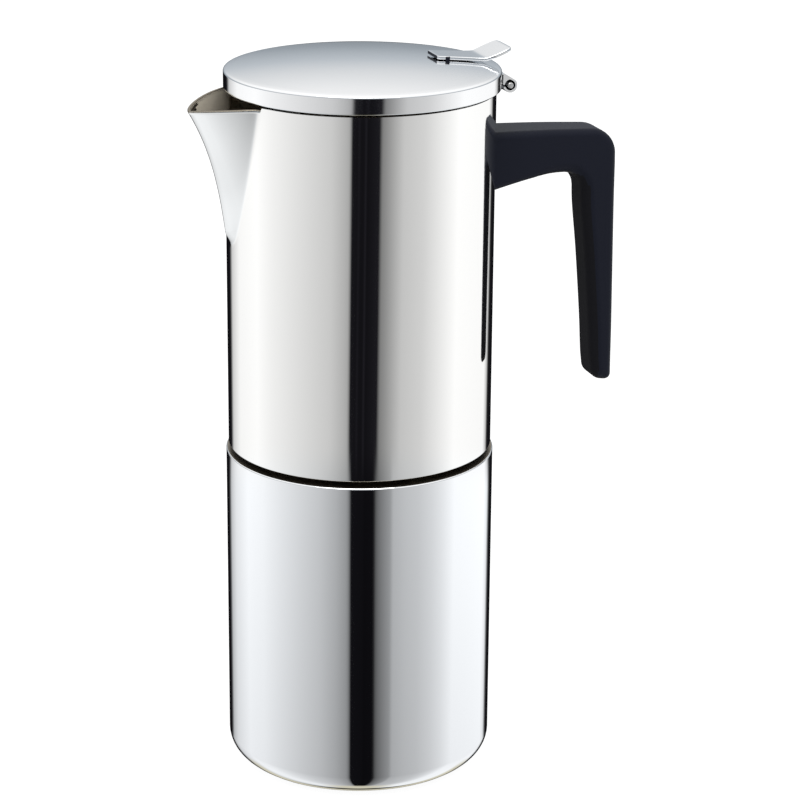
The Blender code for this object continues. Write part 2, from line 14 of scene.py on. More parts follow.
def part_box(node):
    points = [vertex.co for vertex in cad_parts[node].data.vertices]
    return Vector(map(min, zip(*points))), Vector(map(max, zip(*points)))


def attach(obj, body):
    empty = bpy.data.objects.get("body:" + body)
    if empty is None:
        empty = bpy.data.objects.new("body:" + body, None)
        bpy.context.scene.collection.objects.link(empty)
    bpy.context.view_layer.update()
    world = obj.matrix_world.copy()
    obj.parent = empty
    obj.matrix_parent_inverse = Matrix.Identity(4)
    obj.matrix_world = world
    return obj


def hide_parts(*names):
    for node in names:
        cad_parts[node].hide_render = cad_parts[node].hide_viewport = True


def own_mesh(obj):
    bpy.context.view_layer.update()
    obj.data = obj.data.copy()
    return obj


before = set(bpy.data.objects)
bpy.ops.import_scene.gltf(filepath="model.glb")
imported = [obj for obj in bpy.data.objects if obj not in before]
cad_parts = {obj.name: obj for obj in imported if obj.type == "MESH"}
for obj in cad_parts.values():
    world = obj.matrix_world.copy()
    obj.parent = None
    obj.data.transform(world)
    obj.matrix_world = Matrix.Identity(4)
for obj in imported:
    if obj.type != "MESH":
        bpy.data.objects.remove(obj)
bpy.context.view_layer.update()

MM = 0.001
FINE = 256  # sides of a large turned piece
GAP = 0.3  # between CAD pieces that touch
SHARP = 35  # edges that turn by more degrees than this are shaded sharp
TO_Y = Matrix.Rotation(math.radians(-90), 4, "X")  # +Z to +Y


def span(node):
    """Lowest and highest corner of a CAD node, in millimetres."""
    low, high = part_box(node)
    return low / MM, high / MM


# ---------------------------------------------------------------- materials

def add(tree, kind, links=None, **settings):
    """A shader node with its settings and its inputs, each a value or another node's output."""
    made = tree.nodes.new(kind)
    for key, value in settings.items():
        setattr(made, key, value)
    for key, value in (links or {}).items():
        if isinstance(value, bpy.types.NodeSocket):
            tree.links.new(value, made.inputs[key])
        else:
            made.inputs[key].default_value = value
    return made


def remap(tree, value, low, high, from_low, from_high):
    return add(tree, "ShaderNodeMapRange", {
        "Value": value, "From Min": from_low, "From Max": from_high, "To Min": low, "To Max": high,
    }).outputs["Result"]


def noise(tree, where, scale, stretch, detail, roughness=0.5):
    """Noise over object coordinates in metres; scale is features per metre."""
    spread = add(tree, "ShaderNodeMapping", {"Vector": where, "Scale": stretch})
    made = add(tree, "ShaderNodeTexNoise", {
        "Vector": spread.outputs["Vector"], "Scale": scale, "Detail": detail,
        "Roughness": roughness,
    })
    return made.outputs["Fac"]


def start_material(name, colour, metallic, roughness):
    made = bpy.data.materials.new(name)
    made.use_nodes = True
    tree = made.node_tree
    shader = tree.nodes["Principled BSDF"]
    shader.inputs["Base Color"].default_value = (*colour, 1)
    shader.inputs["Metallic"].default_value = metallic
    shader.inputs["Roughness"].default_value = roughness
    where = add(tree, "ShaderNodeTexCoord").outputs["Object"]
    return made, tree, shader, where


def tint(tree, shader, dark, light, mask):
    """Varies the base colour between two tones."""
    mix = add(tree, "ShaderNodeMix", {"Factor": mask}, data_type="RGBA")
    mix.inputs[6].default_value = (*dark, 1)
    mix.inputs[7].default_value = (*light, 1)
    tree.links.new(mix.outputs[2], shader.inputs["Base Color"])


def polished_steel(name, dark, light, rough=(0.035, 0.06), wave=0.06):
    """Mirror-polished sheet: a tone that drifts a little, faint hairlines and a slight waviness."""
    made, tree, shader, where = start_material(name, light, 1.0, 0.05)
    tint(tree, shader, dark, light, noise(tree, where, 14, (1, 1, 0.5), 2.0))
    hairs = noise(tree, where, 900, (1, 1, 0.03), 2.0)
    clouds = noise(tree, where, 40, (1, 1, 0.6), 3.0)
    both = add(tree, "ShaderNodeMath", {0: hairs, 1: clouds}, operation="MULTIPLY").outputs[0]
    tree.links.new(remap(tree, both, *rough, 0.15, 0.4), shader.inputs["Roughness"])
    slow = noise(tree, where, 16, (1, 1, 0.25), 1.0)
    bump = add(tree, "ShaderNodeBump", {"Height": slow, "Strength": wave, "Distance": 0.002})
    tree.links.new(bump.outputs["Normal"], shader.inputs["Normal"])
    return made


def turned_steel(name, dark, light, rough=(0.22, 0.36), pitch=2600, metallic=1.0):
    """Satin steel with the fine rings that a lathe or a brush leaves round the axis."""
    made, tree, shader, where = start_material(name, light, metallic, 0.3)
    rings = noise(tree, where, pitch, (0.02, 0.02, 1), 3.0, 0.7)
    clouds = noise(tree, where, 60, (1, 1, 1), 3.0)
    tint(tree, shader, dark, light, rings)
    tree.links.new(remap(tree, clouds, *rough, 0.3, 0.7), shader.inputs["Roughness"])
    bump = add(tree, "ShaderNodeBump", {"Height": rings, "Strength": 0.15, "Distance": 0.0001})
    tree.links.new(bump.outputs["Normal"], shader.inputs["Normal"])
    return made


def moulded(name, dark, light, rough, grain, depth, specular=0.5, tone=(1, 1, 1)):
    """Moulded plastic or silicone with a fine even grain."""
    made, tree, shader, where = start_material(name, light, 0.0, 0.5)
    shader.inputs["Specular IOR Level"].default_value = specular
    shader.inputs["Specular Tint"].default_value = (*tone, 1)
    clouds = noise(tree, where, 30, (1, 1, 1), 3.0)
    fine = noise(tree, where, grain, (1, 1, 1), 2.0)
    tint(tree, shader, dark, light, clouds)
    tree.links.new(remap(tree, fine, *rough, 0.3, 0.7), shader.inputs["Roughness"])
    bump = add(tree, "ShaderNodeBump", {"Height": fine, "Strength": 0.25, "Distance": depth})
    tree.links.new(bump.outputs["Normal"], shader.inputs["Normal"])
    return made


MATERIALS = {
    "jug": polished_steel("jug_mirror_steel", (0.925, 0.926, 0.918), (0.965, 0.966, 0.958)),
    "inside": turned_steel("jug_inside_steel", (0.60, 0.54, 0.44), (0.70, 0.64, 0.53),
                           (0.45, 0.55), 900, 0.3),
    "boiler": polished_steel("boiler_mirror_steel", (0.91, 0.915, 0.925), (0.945, 0.95, 0.96)),
    "lid": polished_steel("lid_mirror_steel", (0.90, 0.91, 0.925), (0.94, 0.95, 0.96),
                          (0.06, 0.10), 0.1),
    "satin": turned_steel("satin_steel", (0.62, 0.61, 0.60), (0.78, 0.77, 0.76)),
    # Brushed steel darkened to a deep brown: painted shade for the recess between jug and boiler.
    "shaded_brushed": turned_steel("brushed_brown_steel_painted_shade", (0.20, 0.17, 0.13), (0.29, 0.26, 0.21),
                            (0.34, 0.44), 1500),
    # The beige tint stands in for the warm table that the base mirrors: painted reflection.
    "base": turned_steel("satin_base_steel_painted_reflection", (0.62, 0.57, 0.45), (0.70, 0.65, 0.52), (0.3, 0.45)),
    "brass": turned_steel("turned_brass", (0.70, 0.50, 0.22), (0.86, 0.66, 0.34), (0.16, 0.26)),
    "silicone": moulded("silicone", (0.74, 0.73, 0.69), (0.82, 0.81, 0.77), (0.5, 0.65), 900,
                        0.00005),
    "plastic": moulded("black_plastic", (0.0092, 0.0102, 0.0165), (0.0106, 0.0116, 0.019),
                       (0.36, 0.46), 2400, 0.00003, 0.08, (0.78, 0.84, 0.9)),
    # A darker, duller copy of the black plastic: painted shade for the grip's side towards the pot.
    "shaded_plastic": moulded("black_plastic_painted_shade", (0.0085, 0.0084, 0.0102), (0.0098, 0.0097, 0.0118),
                    (0.5, 0.6), 2400, 0.00003, 0.03, (0.9, 0.9, 0.9)),
}


# ---------------------------------------------------------------- mesh helpers

def finish_mesh(name, bm, material, sharp=SHARP):
    """An object of this bmesh, in millimetres, smooth but for edges sharper than an angle."""
    bmesh.ops.scale(bm, vec=(MM, MM, MM), verts=bm.verts)
    bmesh.ops.remove_doubles(bm, verts=bm.verts, dist=1e-7)
    bmesh.ops.recalc_face_normals(bm, faces=bm.faces)
    mesh = bpy.data.meshes.new(name)
    bm.to_mesh(mesh)
    bm.free()
    mesh.shade_smooth()
    mesh.set_sharp_from_angle(angle=math.radians(sharp))
    made = bpy.data.objects.new(name, mesh)
    bpy.context.scene.collection.objects.link(made)
    if material:
        mesh.materials.append(MATERIALS[material])
    return made


def boolean(target, other, operation):
    """Cuts or joins another mesh, which is used up."""
    step = target.modifiers.new("boolean", "BOOLEAN")
    step.operation = operation
    step.object = other
    step.solver = "EXACT"
    apply_modifiers(target)
    target.data.set_sharp_from_angle(angle=math.radians(SHARP))
    bpy.data.objects.remove(other, do_unlink=True)


def apply_modifiers(thing):
    graph = bpy.context.evaluated_depsgraph_get()
    mesh = bpy.data.meshes.new_from_object(thing.evaluated_get(graph))
    mesh.name = thing.name
    thing.modifiers.clear()
    thing.data = mesh


def bevel(thing, width, segments=3, angle=40):
    edges = thing.modifiers.new("edges", "BEVEL")
    edges.width = width * MM
    edges.segments = segments
    edges.limit_method = "ANGLE"
    edges.angle_limit = math.radians(angle)
    apply_modifiers(thing)


def place(thing, body, node):
    """The piece stands for a CAD node, whose mesh it hides, and rides on its body."""
    weigh = thing.modifiers.new("weighted_normals", "WEIGHTED_NORMAL")
    weigh.keep_sharp = True
    weigh.weight = 60
    apply_modifiers(thing)
    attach(thing, body)
    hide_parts(node)


def rounded(corners, steps=6):
    """A closed outline of (x, z, radius) corners, each rounded to its radius."""
    outline = []
    for i, (x, z, radius) in enumerate(corners):
        here = Vector((x, z))
        back = Vector(corners[i - 1][:2]) - here
        ahead = Vector(corners[(i + 1) % len(corners)][:2]) - here
        half = back.angle(ahead) / 2
        if not radius or half > math.radians(89):
            outline.append((x, z))
            continue
        length = min(radius / math.tan(half), 0.49 * back.length, 0.49 * ahead.length)
        radius = length * math.tan(half)
        back, ahead = back.normalized(), ahead.normalized()
        centre = here + (back + ahead).normalized() * radius / math.sin(half)
        start = here + back * length - centre
        end = here + ahead * length - centre
        sweep = start.angle(end)
        for k in range(steps + 1):
            share = k / steps
            point = (start * math.sin((1 - share) * sweep) + end * math.sin(share * sweep))
            outline.append(tuple(centre + point / math.sin(sweep)))
    return outline


def turned(name, outline, material, sides=FINE, along_valve=False, sharp=SHARP, angles=None):
    """Turns a closed (radius, height) outline about the pot's axis or about the valve's."""
    angles = angles or [2 * math.pi * i / sides for i in range(sides)]
    bm = bmesh.new()
    rings = []
    for angle in angles:
        points = outline(angle) if callable(outline) else outline
        across = Vector((math.cos(angle), math.sin(angle), 0))
        rings.append([bm.verts.new(across * r + Vector((0, 0, z))) for r, z in points])
    for here, there in zip(rings, rings[1:] + rings[:1]):
        for i in range(len(here)):
            corners = [here[i - 1], there[i - 1], there[i], here[i]]
            if corners[0].co.xy.length > 1e-6 or corners[3].co.xy.length > 1e-6:  # off the axis
                bm.faces.new(corners)
    if along_valve:
        bmesh.ops.transform(bm, matrix=Matrix.Translation((0, 0, VALVE_Z)) @ TO_Y, verts=bm.verts)
    return finish_mesh(name, bm, material, sharp)


def skin(bm, rings):
    """Quads between neighbouring rings, with a face at each end."""
    for here, there in zip(rings, rings[1:]):
        for k in range(len(here)):
            bm.faces.new((here[k - 1], there[k - 1], there[k], here[k]))
    bm.faces.new(rings[0])
    bm.faces.new(rings[-1])


def upright(name, centres, radius, low, high, sides):
    """Upright cylinders, used as cutters."""
    bm = bmesh.new()
    for x, y in centres:
        bmesh.ops.create_cone(bm, cap_ends=True, segments=sides, radius1=radius, radius2=radius,
                              depth=high - low, matrix=Matrix.Translation((x, y, (low + high) / 2)))
    return finish_mesh(name, bm, None)


def block(name, low, high, material=None):
    bm = bmesh.new()
    bmesh.ops.create_cube(bm, size=1.0)
    bmesh.ops.scale(bm, vec=Vector(high) - Vector(low), verts=bm.verts)
    bmesh.ops.translate(bm, vec=(Vector(low) + Vector(high)) / 2, verts=bm.verts)
    return finish_mesh(name, bm, material)


def extruded(name, outline, low, high, material):
    """A closed (x, z) outline drawn along Y."""
    bm = bmesh.new()
    sides = [[bm.verts.new((x, y, z)) for x, z in outline] for y in (low, high)]
    bm.faces.new(sides[0])
    bm.faces.new(sides[1])
    for i in range(len(outline)):
        bm.faces.new((sides[0][i - 1], sides[0][i], sides[1][i], sides[1][i - 1]))
    return finish_mesh(name, bm, material)


# ---------------------------------------------------------------- boiler

shell_low, shell_high = span("boiler_shell")
SETTLE = 0.45  # the bottom sits this much below its CAD node, close to the table
BOILER_R, BOILER_LOW, BOILER_TOP = shell_high.x, shell_low.z - SETTLE, shell_high.z
WALL, DISC_GAP = 1.3, 0.05
BOTTOM_ROUND, BOTTOM_ROUND_IN, TOP_ROUND, TOP_ROUND_IN, NECK_ROUND = 7.6, 6.4, 0.5, 0.6, 0.3
valve_low, valve_high = span("valve_body")
VALVE_Z = (valve_low.z + valve_high.z) / 2
neck_low, neck_high = span("boiler_neck")
NECK_IN, NECK_ROOT, NECK_CREST, PITCH = 35.6, 37.6, 38.4, 3.0
VALVE_HOLE_R, VALVE_BAND = 4.3, 8  # the wall has an extra ring this far above and below


def threaded(name, low, high, plain_r, root_r, crest_r, material, top=None):
    """A ring with a one-start thread of rounded crests on the side that faces crest_r."""
    rows = int(14 * (high - low) / PITCH)

    def outline(angle):
        points = [(plain_r, top or high), (plain_r, low)]
        for row in range(rows + 1):
            z = low + (high - low) * row / rows
            fade = min(1.0, row / 5, (rows - row) / 5)
            wave = 0.5 - 0.5 * math.cos(2 * math.pi * (z / PITCH - angle / (2 * math.pi)))
            rise = min(1.0, max(0.0, 1.6 * wave - 0.3))
            points.append((root_r + (crest_r - root_r) * fade * rise, z))
        if top:
            points += [(crest_r + 0.1, high + 0.3), (crest_r + 0.1, top)]
        return points

    return turned(name, outline, material, 192)


def make_boiler():
    inside, ceiling = BOILER_R - WALL, BOILER_TOP - WALL
    band_low, band_high = VALVE_Z - VALVE_BAND, VALVE_Z + VALVE_BAND
    shell = turned("boiler_shell_fine", rounded([
        (0, BOILER_LOW, 0), (BOILER_R, BOILER_LOW, BOTTOM_ROUND), (BOILER_R, band_low, 0),
        (BOILER_R, band_high, 0), (BOILER_R, BOILER_TOP, TOP_ROUND),
        (NECK_IN, BOILER_TOP, NECK_ROUND), (NECK_IN, ceiling, NECK_ROUND),
        (inside, ceiling, TOP_ROUND_IN), (inside, band_high, 0), (inside, band_low, 0),
        (inside, BOILER_LOW + WALL, BOTTOM_ROUND_IN), (0, BOILER_LOW + WALL, 0),
    ], 12), "boiler")
    hole = upright("valve_hole", [(0, 0)], VALVE_HOLE_R, 30, 60, 48)
    hole.data.transform(Matrix.Translation((0, 0, VALVE_Z * MM)) @ TO_Y)
    boolean(shell, hole, "DIFFERENCE")
    shell.data.materials.append(MATERIALS["shaded_brushed"])  # for the ledge at the top, painted dark: painted shade in the gap under the jug
    for face in shell.data.polygons:
        if face.normal.z > 0.9 and face.center.z > (BOILER_TOP - 0.1) * MM:
            face.material_index = len(shell.data.materials) - 1
    place(shell, "boiler", "boiler_shell")
    disc_r, disc_top = span("base_disc")[1].x, BOILER_LOW - DISC_GAP
    disc = turned("base_disc_fine", rounded([
        (0, 0, 0), (disc_r, 0, 0.15), (disc_r, disc_top, 0.1), (0, disc_top, 0),
    ]), "base")
    place(disc, "boiler", "base_disc")
    # The thread lies in the recess under the jug; its dark steel is painted shade.
    neck = threaded("boiler_neck_fine", neck_low.z, neck_high.z, NECK_IN, NECK_ROOT, NECK_CREST,
                    "shaded_brushed")
    place(neck, "boiler", "boiler_neck")


# ---------------------------------------------------------------- safety valve

SEAT, CHAMBER, MOUTH = 45.8, 47.0, 54.5  # along the valve's axis
PLUG_END, RING_LOW = 49.1, 53.3
NUT_LOW, NUT_HIGH, WASHER_LOW, WASHER_HIGH = 38.6, 41.4, 41.7, 43.0
BODY_ACROSS, BODY_FLATS, NUT_ACROSS = 12.4, 3.6, 11.0
STEM_R, SEAT_R, WAIST_R, MOUTH_R, CHAMBER_R, BORE_R = 4.0, 5.2, 4.6, 5.0, 3.3, 1.7
WASHER_R, RING_R, PLUG_R, PIN_R, PIN_TRAVEL = 5.8, 3.0, 2.9, 1.4, 1.5


def hexagon(name, across, low, high, bore_r=None):
    """A hexagon on the valve's axis with turned chamfers on its corners."""
    flat, chamfer = across / 2, 0.5
    corner = flat / math.cos(math.radians(30))
    bm = bmesh.new()
    bmesh.ops.create_cone(bm, cap_ends=True, segments=6, radius1=corner, radius2=corner,
                          depth=high - low, matrix=Matrix.Translation((0, 0, (low + high) / 2)))
    body = finish_mesh(name, bm, "brass")
    cone = turned(name + "_chamfer", [
        (0, low - 0.01), (flat - 0.1, low - 0.01), (corner + 0.4, low + chamfer + 0.1),
        (corner + 0.4, high - chamfer - 0.1), (flat - 0.1, high + 0.01), (0, high + 0.01),
    ], "brass", 96)
    boolean(body, cone, "INTERSECT")
    if bore_r:
        boolean(body, upright("bore", [(0, 0)], bore_r, low - 1, high + 1, 48), "DIFFERENCE")
    body.data.transform(Matrix.Translation((0, 0, VALVE_Z * MM)) @ TO_Y)
    return body


def make_valve():
    body = turned("valve_body_fine", rounded([
        (BORE_R, valve_low.y, 0.2), (STEM_R - 0.4, valve_low.y, 0.2),
        (STEM_R, valve_low.y + 0.5, 0.1), (STEM_R, SEAT, 0), (SEAT_R, SEAT, 0),
        (SEAT_R, SEAT + 3.9, 0.2), (WAIST_R, SEAT + 4.1, 0.2), (WAIST_R, SEAT + 4.6, 0.2),
        (MOUTH_R, SEAT + 4.9, 0.2), (MOUTH_R, MOUTH, 0.45), (CHAMBER_R, MOUTH, 0.2),
        (CHAMBER_R, CHAMBER, 0.1), (BORE_R, CHAMBER, 0.1),
    ], 4), "brass", 96, along_valve=True)
    boolean(body, hexagon("valve_flats", BODY_ACROSS, SEAT, SEAT + BODY_FLATS), "UNION")
    place(body, "boiler", "valve_body")
    nut = hexagon("valve_nut_fine", NUT_ACROSS, NUT_LOW, NUT_HIGH, VALVE_HOLE_R)
    place(nut, "boiler", "valve_nut")
    washer = turned("valve_washer_fine", rounded([
        (VALVE_HOLE_R, WASHER_LOW, 0.3), (WASHER_R, WASHER_LOW, 0.3),
        (WASHER_R, WASHER_HIGH, 0.3), (VALVE_HOLE_R, WASHER_HIGH, 0.3),
    ], 4), "silicone", 64, along_valve=True)
    place(washer, "boiler", "valve_washer")
    ring = turned("valve_end_ring_fine", rounded([
        (BORE_R, RING_LOW, 0.1), (RING_R, RING_LOW, 0.1), (RING_R, MOUTH, 0.2),
        (BORE_R, MOUTH, 0.25),
    ], 4), "brass", 64, along_valve=True)
    place(ring, "boiler", "valve_end_ring")
    pin_low, pin_high = span("valve_pin")
    pin = turned("valve_pin_fine", rounded([
        (0, pin_low.y, 0), (PIN_R - 0.1, pin_low.y, 0.2), (PLUG_R, pin_low.y + 0.8, 0.2),
        (PLUG_R, PLUG_END, 0.2), (PIN_R, PLUG_END, 0.1), (PIN_R, pin_high.y, 0.5),
        (0, pin_high.y, 0),
    ], 4), "satin", 64, along_valve=True)
    place(pin, "valve_pin", "valve_pin")
    make_spring(PLUG_END + 0.2, RING_LOW - 0.2)


def make_spring(low, high):
    """The coil behind the valve's plug."""
    wire, coil_r, turns, per_turn, sides = 0.28, 2.4, 4, 48, 12
    bm = bmesh.new()
    rings = []
    for i in range(turns * per_turn + 1):
        angle = 2 * math.pi * i / per_turn
        out = Vector((math.cos(angle), 0, math.sin(angle)))
        y = low + wire + (high - low - 2 * wire) * i / (turns * per_turn)
        centre = out * coil_r + Vector((0, y, VALVE_Z))
        rings.append([
            bm.verts.new(centre + (out * math.cos(t) + Vector((0, 1, 0)) * math.sin(t)) * wire)
            for t in (2 * math.pi * k / sides for k in range(sides))
        ])
    skin(bm, rings)
    spring = finish_mesh("valve_spring_fine", bm, "satin")
    place(spring, "boiler", "valve_spring")
    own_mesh(spring)


# ---------------------------------------------------------------- funnel and seal

def hole_rings(step, counts):
    """Hole centres in rings, a step apart, round one in the middle."""
    centres = [(0.0, 0.0)]
    for ring, count in enumerate(counts, start=1):
        for i in range(count):
            angle = 2 * math.pi * (i + 0.5 * (ring % 2)) / count
            centres.append((ring * step * math.cos(angle), ring * step * math.sin(angle)))
    return centres


def drilled_disc(name, node, body, step):
    """A perforated disc as large as its CAD node, with an embossed ring near its edge."""
    low, high = span(node)
    r, z, top = high.x, low.z, high.z
    rim, sunk, hole_r = 3, 0.15, 1.1
    disc = turned(name, rounded([
        (0, z, 0), (r, z, 0.3), (r, top, 0.3), (r - rim, top, 0.1),
        (r - rim - 0.4, top - sunk, 0.1), (0, top - sunk, 0),
    ], 4), "satin", 192)
    holes = upright("holes", hole_rings(step, (6, 12, 18)), hole_r, z - 1, top + 1, 20)
    boolean(disc, holes, "DIFFERENCE")
    place(disc, body, node)


def make_funnel():
    """The funnel with its disc, and above it the gasket and the filter plate."""
    low, high = span("funnel")
    flange_r, flange_low = high.x, high.z - 0.8
    basket_r, inside, floor = 34.6, 33.8, 98.0
    stem_r, stem_in = 5.5, 4.7
    funnel = turned("funnel_fine", rounded([
        (inside, high.z, 0.5), (flange_r, high.z, 0.35), (flange_r, flange_low, 0.35),
        (basket_r, flange_low, 0.3), (basket_r, floor, 1.5), (stem_r + 4, floor - 3, 2.5),
        (stem_r, floor - 8, 3), (stem_r, low.z, 0.35), (stem_in, low.z, 0.35),
        (stem_in, floor - 8, 3), (stem_in + 4, floor - 2.2, 2.5), (inside - 3, floor + 0.8, 0.5),
        (inside, floor + 0.8, 0.8),
    ], 6), "satin", 192)
    place(funnel, "funnel", "funnel")
    drilled_disc("funnel_filter_disc_fine", "funnel_filter_disc", "funnel", 8.0)
    low, high = span("gasket")
    bore, soft = 33.2, 0.5
    gasket = turned("gasket_fine", rounded([
        (bore, low.z, soft), (high.x, low.z, soft), (high.x, high.z, soft), (bore, high.z, soft),
    ]), "silicone", 192)
    place(gasket, "gasket", "gasket")
    drilled_disc("filter_plate_fine", "filter_plate", "filter_plate", 8.4)


# ---------------------------------------------------------------- jug

JUG_R, JUG_WALL, JUG_BOTTOM, JUG_RIM = 44.2, 1.2, span("jug_shell")[0].z, 238.0
FOOT_ROUND, FLANGE_R = 0.6, 41.7  # the foot is turned in
FOOT_Z, TIP_Z, LIP_Z = 184.0, 229.2, 232.6  # spout
REACH, KICK = 13.9, 1.2
HALF_ANGLE, STEP_ANGLE = math.radians(25.0), math.radians(31.0)
RIM_INSET, SHOULDER_Z = 0.9, 233.2  # the rim steps in under the lid
LIP = JUG_WALL / 2
SECTOR, SECTOR_SIDES, REST_SIDES = math.radians(34), 272, 220  # finer round the spout
COLLAR_ROOT, COLLAR_CREST, FLOOR_HOLE = 39.5, 38.7, 10
COLUMN_R, COLUMN_BORE, FLARE_Z = 6.5, 5.5, 22


def spout_reach(z):
    """How far the spout's fold stands out from the wall."""
    rise = min(1.08, max(0.0, (z - FOOT_Z) / (TIP_Z - FOOT_Z)))
    kick = min(1.0, rise / 0.1)
    return KICK * kick * kick * (3 - 2 * kick) + (REACH - KICK) * (0.45 * rise + 0.55 * rise**3)


def from_spout(angle):
    """The angle between a direction and the spout's."""
    return abs((angle % (2 * math.pi)) - math.pi)


def rim_height(angle):
    aside, edge = from_spout(angle), HALF_ANGLE * 1.08
    if aside >= STEP_ANGLE:
        return JUG_RIM
    if aside >= edge:
        return LIP_Z + (JUG_RIM - LIP_Z) * (aside - edge) / (STEP_ANGLE - edge)
    return LIP_Z - (LIP_Z - TIP_Z) * (1 - aside / edge) ** 1.5


def jug_radius(angle, z):
    """The wall's radius, with the spout drawn out of it and its creases softened."""
    rise = (z - FOOT_Z) / (TIP_Z - FOOT_Z)
    if rise <= 0:
        return JUG_R
    share = from_spout(angle) / (HALF_ANGLE * math.sqrt(min(1.16, max(0.01, rise))))
    height = 1.0 - math.sqrt(share * share + 0.01)
    soft = (height + math.sqrt(height * height + 0.0016)) / 2
    fade = max(0.0, min(1.0, 3.0 - share))
    return JUG_R + spout_reach(z) * soft * fade / 0.9


def jug_outline(angle):
    rows = 60
    top = rim_height(angle)
    shoulder = min(top - 0.6, SHOULDER_Z)
    low = FOOT_Z - 3
    inset = RIM_INSET * min(1.0, max(0.0, (top - LIP_Z) / 0.5))
    wall = [(jug_radius(angle, z), z)
            for z in (low + (shoulder - low) * i / rows for i in range(rows + 1))]
    edge_r = wall[-1][0] - inset
    neck = [(edge_r + inset * 0.5, shoulder + 0.15 + 0.2 * inset),
            (edge_r, shoulder + 0.3 + 0.4 * inset)]
    lip = [(edge_r - LIP + LIP * math.cos(t), top - LIP * (1 - math.sin(t)))
           for t in (math.pi * k / 8 for k in range(9))]
    foot = [(JUG_R - FOOT_ROUND + FOOT_ROUND * math.cos(t),
             JUG_BOTTOM + FOOT_ROUND + FOOT_ROUND * math.sin(t))
            for t in (math.pi / 2 * (k / 8 - 1) for k in range(9))]
    inner_neck = [(r - JUG_WALL, z - 0.2) for r, z in neck[::-1]]
    inner = [(r - JUG_WALL, z) for r, z in wall[-2::-1]]
    return [(FLANGE_R, JUG_BOTTOM), *foot, *wall, *neck, *lip, *inner_neck, *inner,
            (JUG_R - JUG_WALL, JUG_BOTTOM + JUG_WALL), (FLANGE_R, JUG_BOTTOM + JUG_WALL)]


def line_inside(shell):
    """Gives the jug's inside its own finish, and its turned-in foot and the spout's lip the dark
    brushed steel, whose dark tone is painted shade.
    """
    shell.data.materials.append(MATERIALS["inside"])
    shell.data.materials.append(MATERIALS["shaded_brushed"])
    for face in shell.data.polygons:
        across = face.center.xy
        lip = face.normal.z > 0.4 and TIP_Z - 2 < face.center.z / MM < LIP_Z + 0.2
        # The spout's lip and the foot's underside take the dark steel: painted shade.
        if lip or face.normal.z < -0.9 and face.center.z < (JUG_BOTTOM + 0.1) * MM:
            face.material_index = 2
        elif across.length > 1e-6 and face.normal.xy.dot(across.normalized()) < -0.5:
            face.material_index = 1


def make_jug():
    angles = [math.pi - SECTOR + 2 * SECTOR * i / SECTOR_SIDES for i in range(SECTOR_SIDES)]
    angles += [math.pi + SECTOR + (2 * math.pi - 2 * SECTOR) * i / REST_SIDES
               for i in range(REST_SIDES)]
    shell = turned("jug_shell_fine", jug_outline, "jug", sharp=50, angles=angles)
    line_inside(shell)
    place(shell, "jug", "jug_shell")

    low, high = span("jug_collar")
    # The collar lies in the recess under the jug; its dark steel is painted shade.
    collar = threaded("jug_collar_fine", low.z, neck_high.z + 0.5, high.x, COLLAR_ROOT,
                      COLLAR_CREST, "shaded_brushed", high.z)
    place(collar, "jug", "jug_collar")
    low, high = span("jug_floor")
    floor = turned("jug_floor_fine", rounded([
        (FLOOR_HOLE, low.z, 0.3), (high.x, low.z, 0.2), (high.x, high.z, 0.2),
        (FLOOR_HOLE, high.z, 0.3),
    ]), "satin", 192)
    place(floor, "jug", "jug_floor")

    low, high = span("riser_column")
    foot, top = low.z, high.z
    column = turned("riser_column_fine", rounded([
        (FLOOR_HOLE, foot, 0.2), (14, foot, 0.2), (14, foot + 0.9, 0.3), (9.5, foot + 2, 2),
        (7.1, foot + 10, 8), (COLUMN_R, foot + FLARE_Z, 8), (COLUMN_R, top, 0.4),
        (COLUMN_BORE, top, 0.4), (COLUMN_BORE, foot + FLARE_Z, 8), (6.1, foot + 9, 8),
        (8.3, foot + 2, 1),
    ], 8), "satin", 96)
    place(column, "jug", "riser_column")
    low, high = span("column_cap")
    inner, outer, crown = 6.8, 7.6, high.z
    cap = turned("column_cap_fine", rounded([
        (inner, low.z, 0.3), (outer, low.z, 0.3), (outer, crown - 4.2, 2.5),
        (outer * 0.62, crown - 1.1, 3), (0, crown, 0), (0, crown - 0.8, 0),
        (inner * 0.6, crown - 2.0, 3), (inner, crown - 4.6, 2.5),
    ], 8), "satin", 96)
    for size in ((12, 2.2), (2.2, 12)):
        window = block("window", (-size[0], -size[1], top + 1.2), (size[0], size[1], top + 6.5))
        bevel(window, 0.6)
        boolean(cap, window, "DIFFERENCE")
    place(cap, "jug", "column_cap")


# ---------------------------------------------------------------- lid, lever and hinge

LID_R, LID_WALL, LID_EDGE, LID_DOME, LID_OFFSET = 45.3, 0.8, 240.0, 2.9, 0.6
LEVER_START, LEVER_BEND, LEVER_END, LEVER_TILT = 24.5, 41.0, 50.0, math.radians(21.0)
LEVER_ROOT_HALF, LEVER_TAB_HALF, LEVER_T, LEVER_RISE = 5.6, 7.6, 1.12, -0.03
LEVER_SOFT, TAB_CORNER, ROOT_CORNER = 0.3, 2.6, 0.8
LUG_X, LUG_HALF, LUG_IN, LUG_OUT, LUG_TOP = 27.9, 0.7, 1.2, 0.25, 1.15  # bumper at each side
TOUCH = 58  # where the leaf meets its eye, in degrees
pin_low, pin_high = span("hinge_pin")
HINGE_X, HINGE_Z = (pin_low.x + pin_high.x) / 2, (pin_low.z + pin_high.z) / 2
KNUCKLE_IN, KNUCKLE_OUT, KNUCKLE_HALF, KNUCKLE_MIDDLE, LEAF_T = 1.65, 2.4, 8.5, 3.2, 0.75
KNUCKLE_EDGE, PIN_PLAY = 0.12, 0.18


def lid_height(r):
    return LID_EDGE + LID_DOME * (1 - (r / LID_R) ** 2)


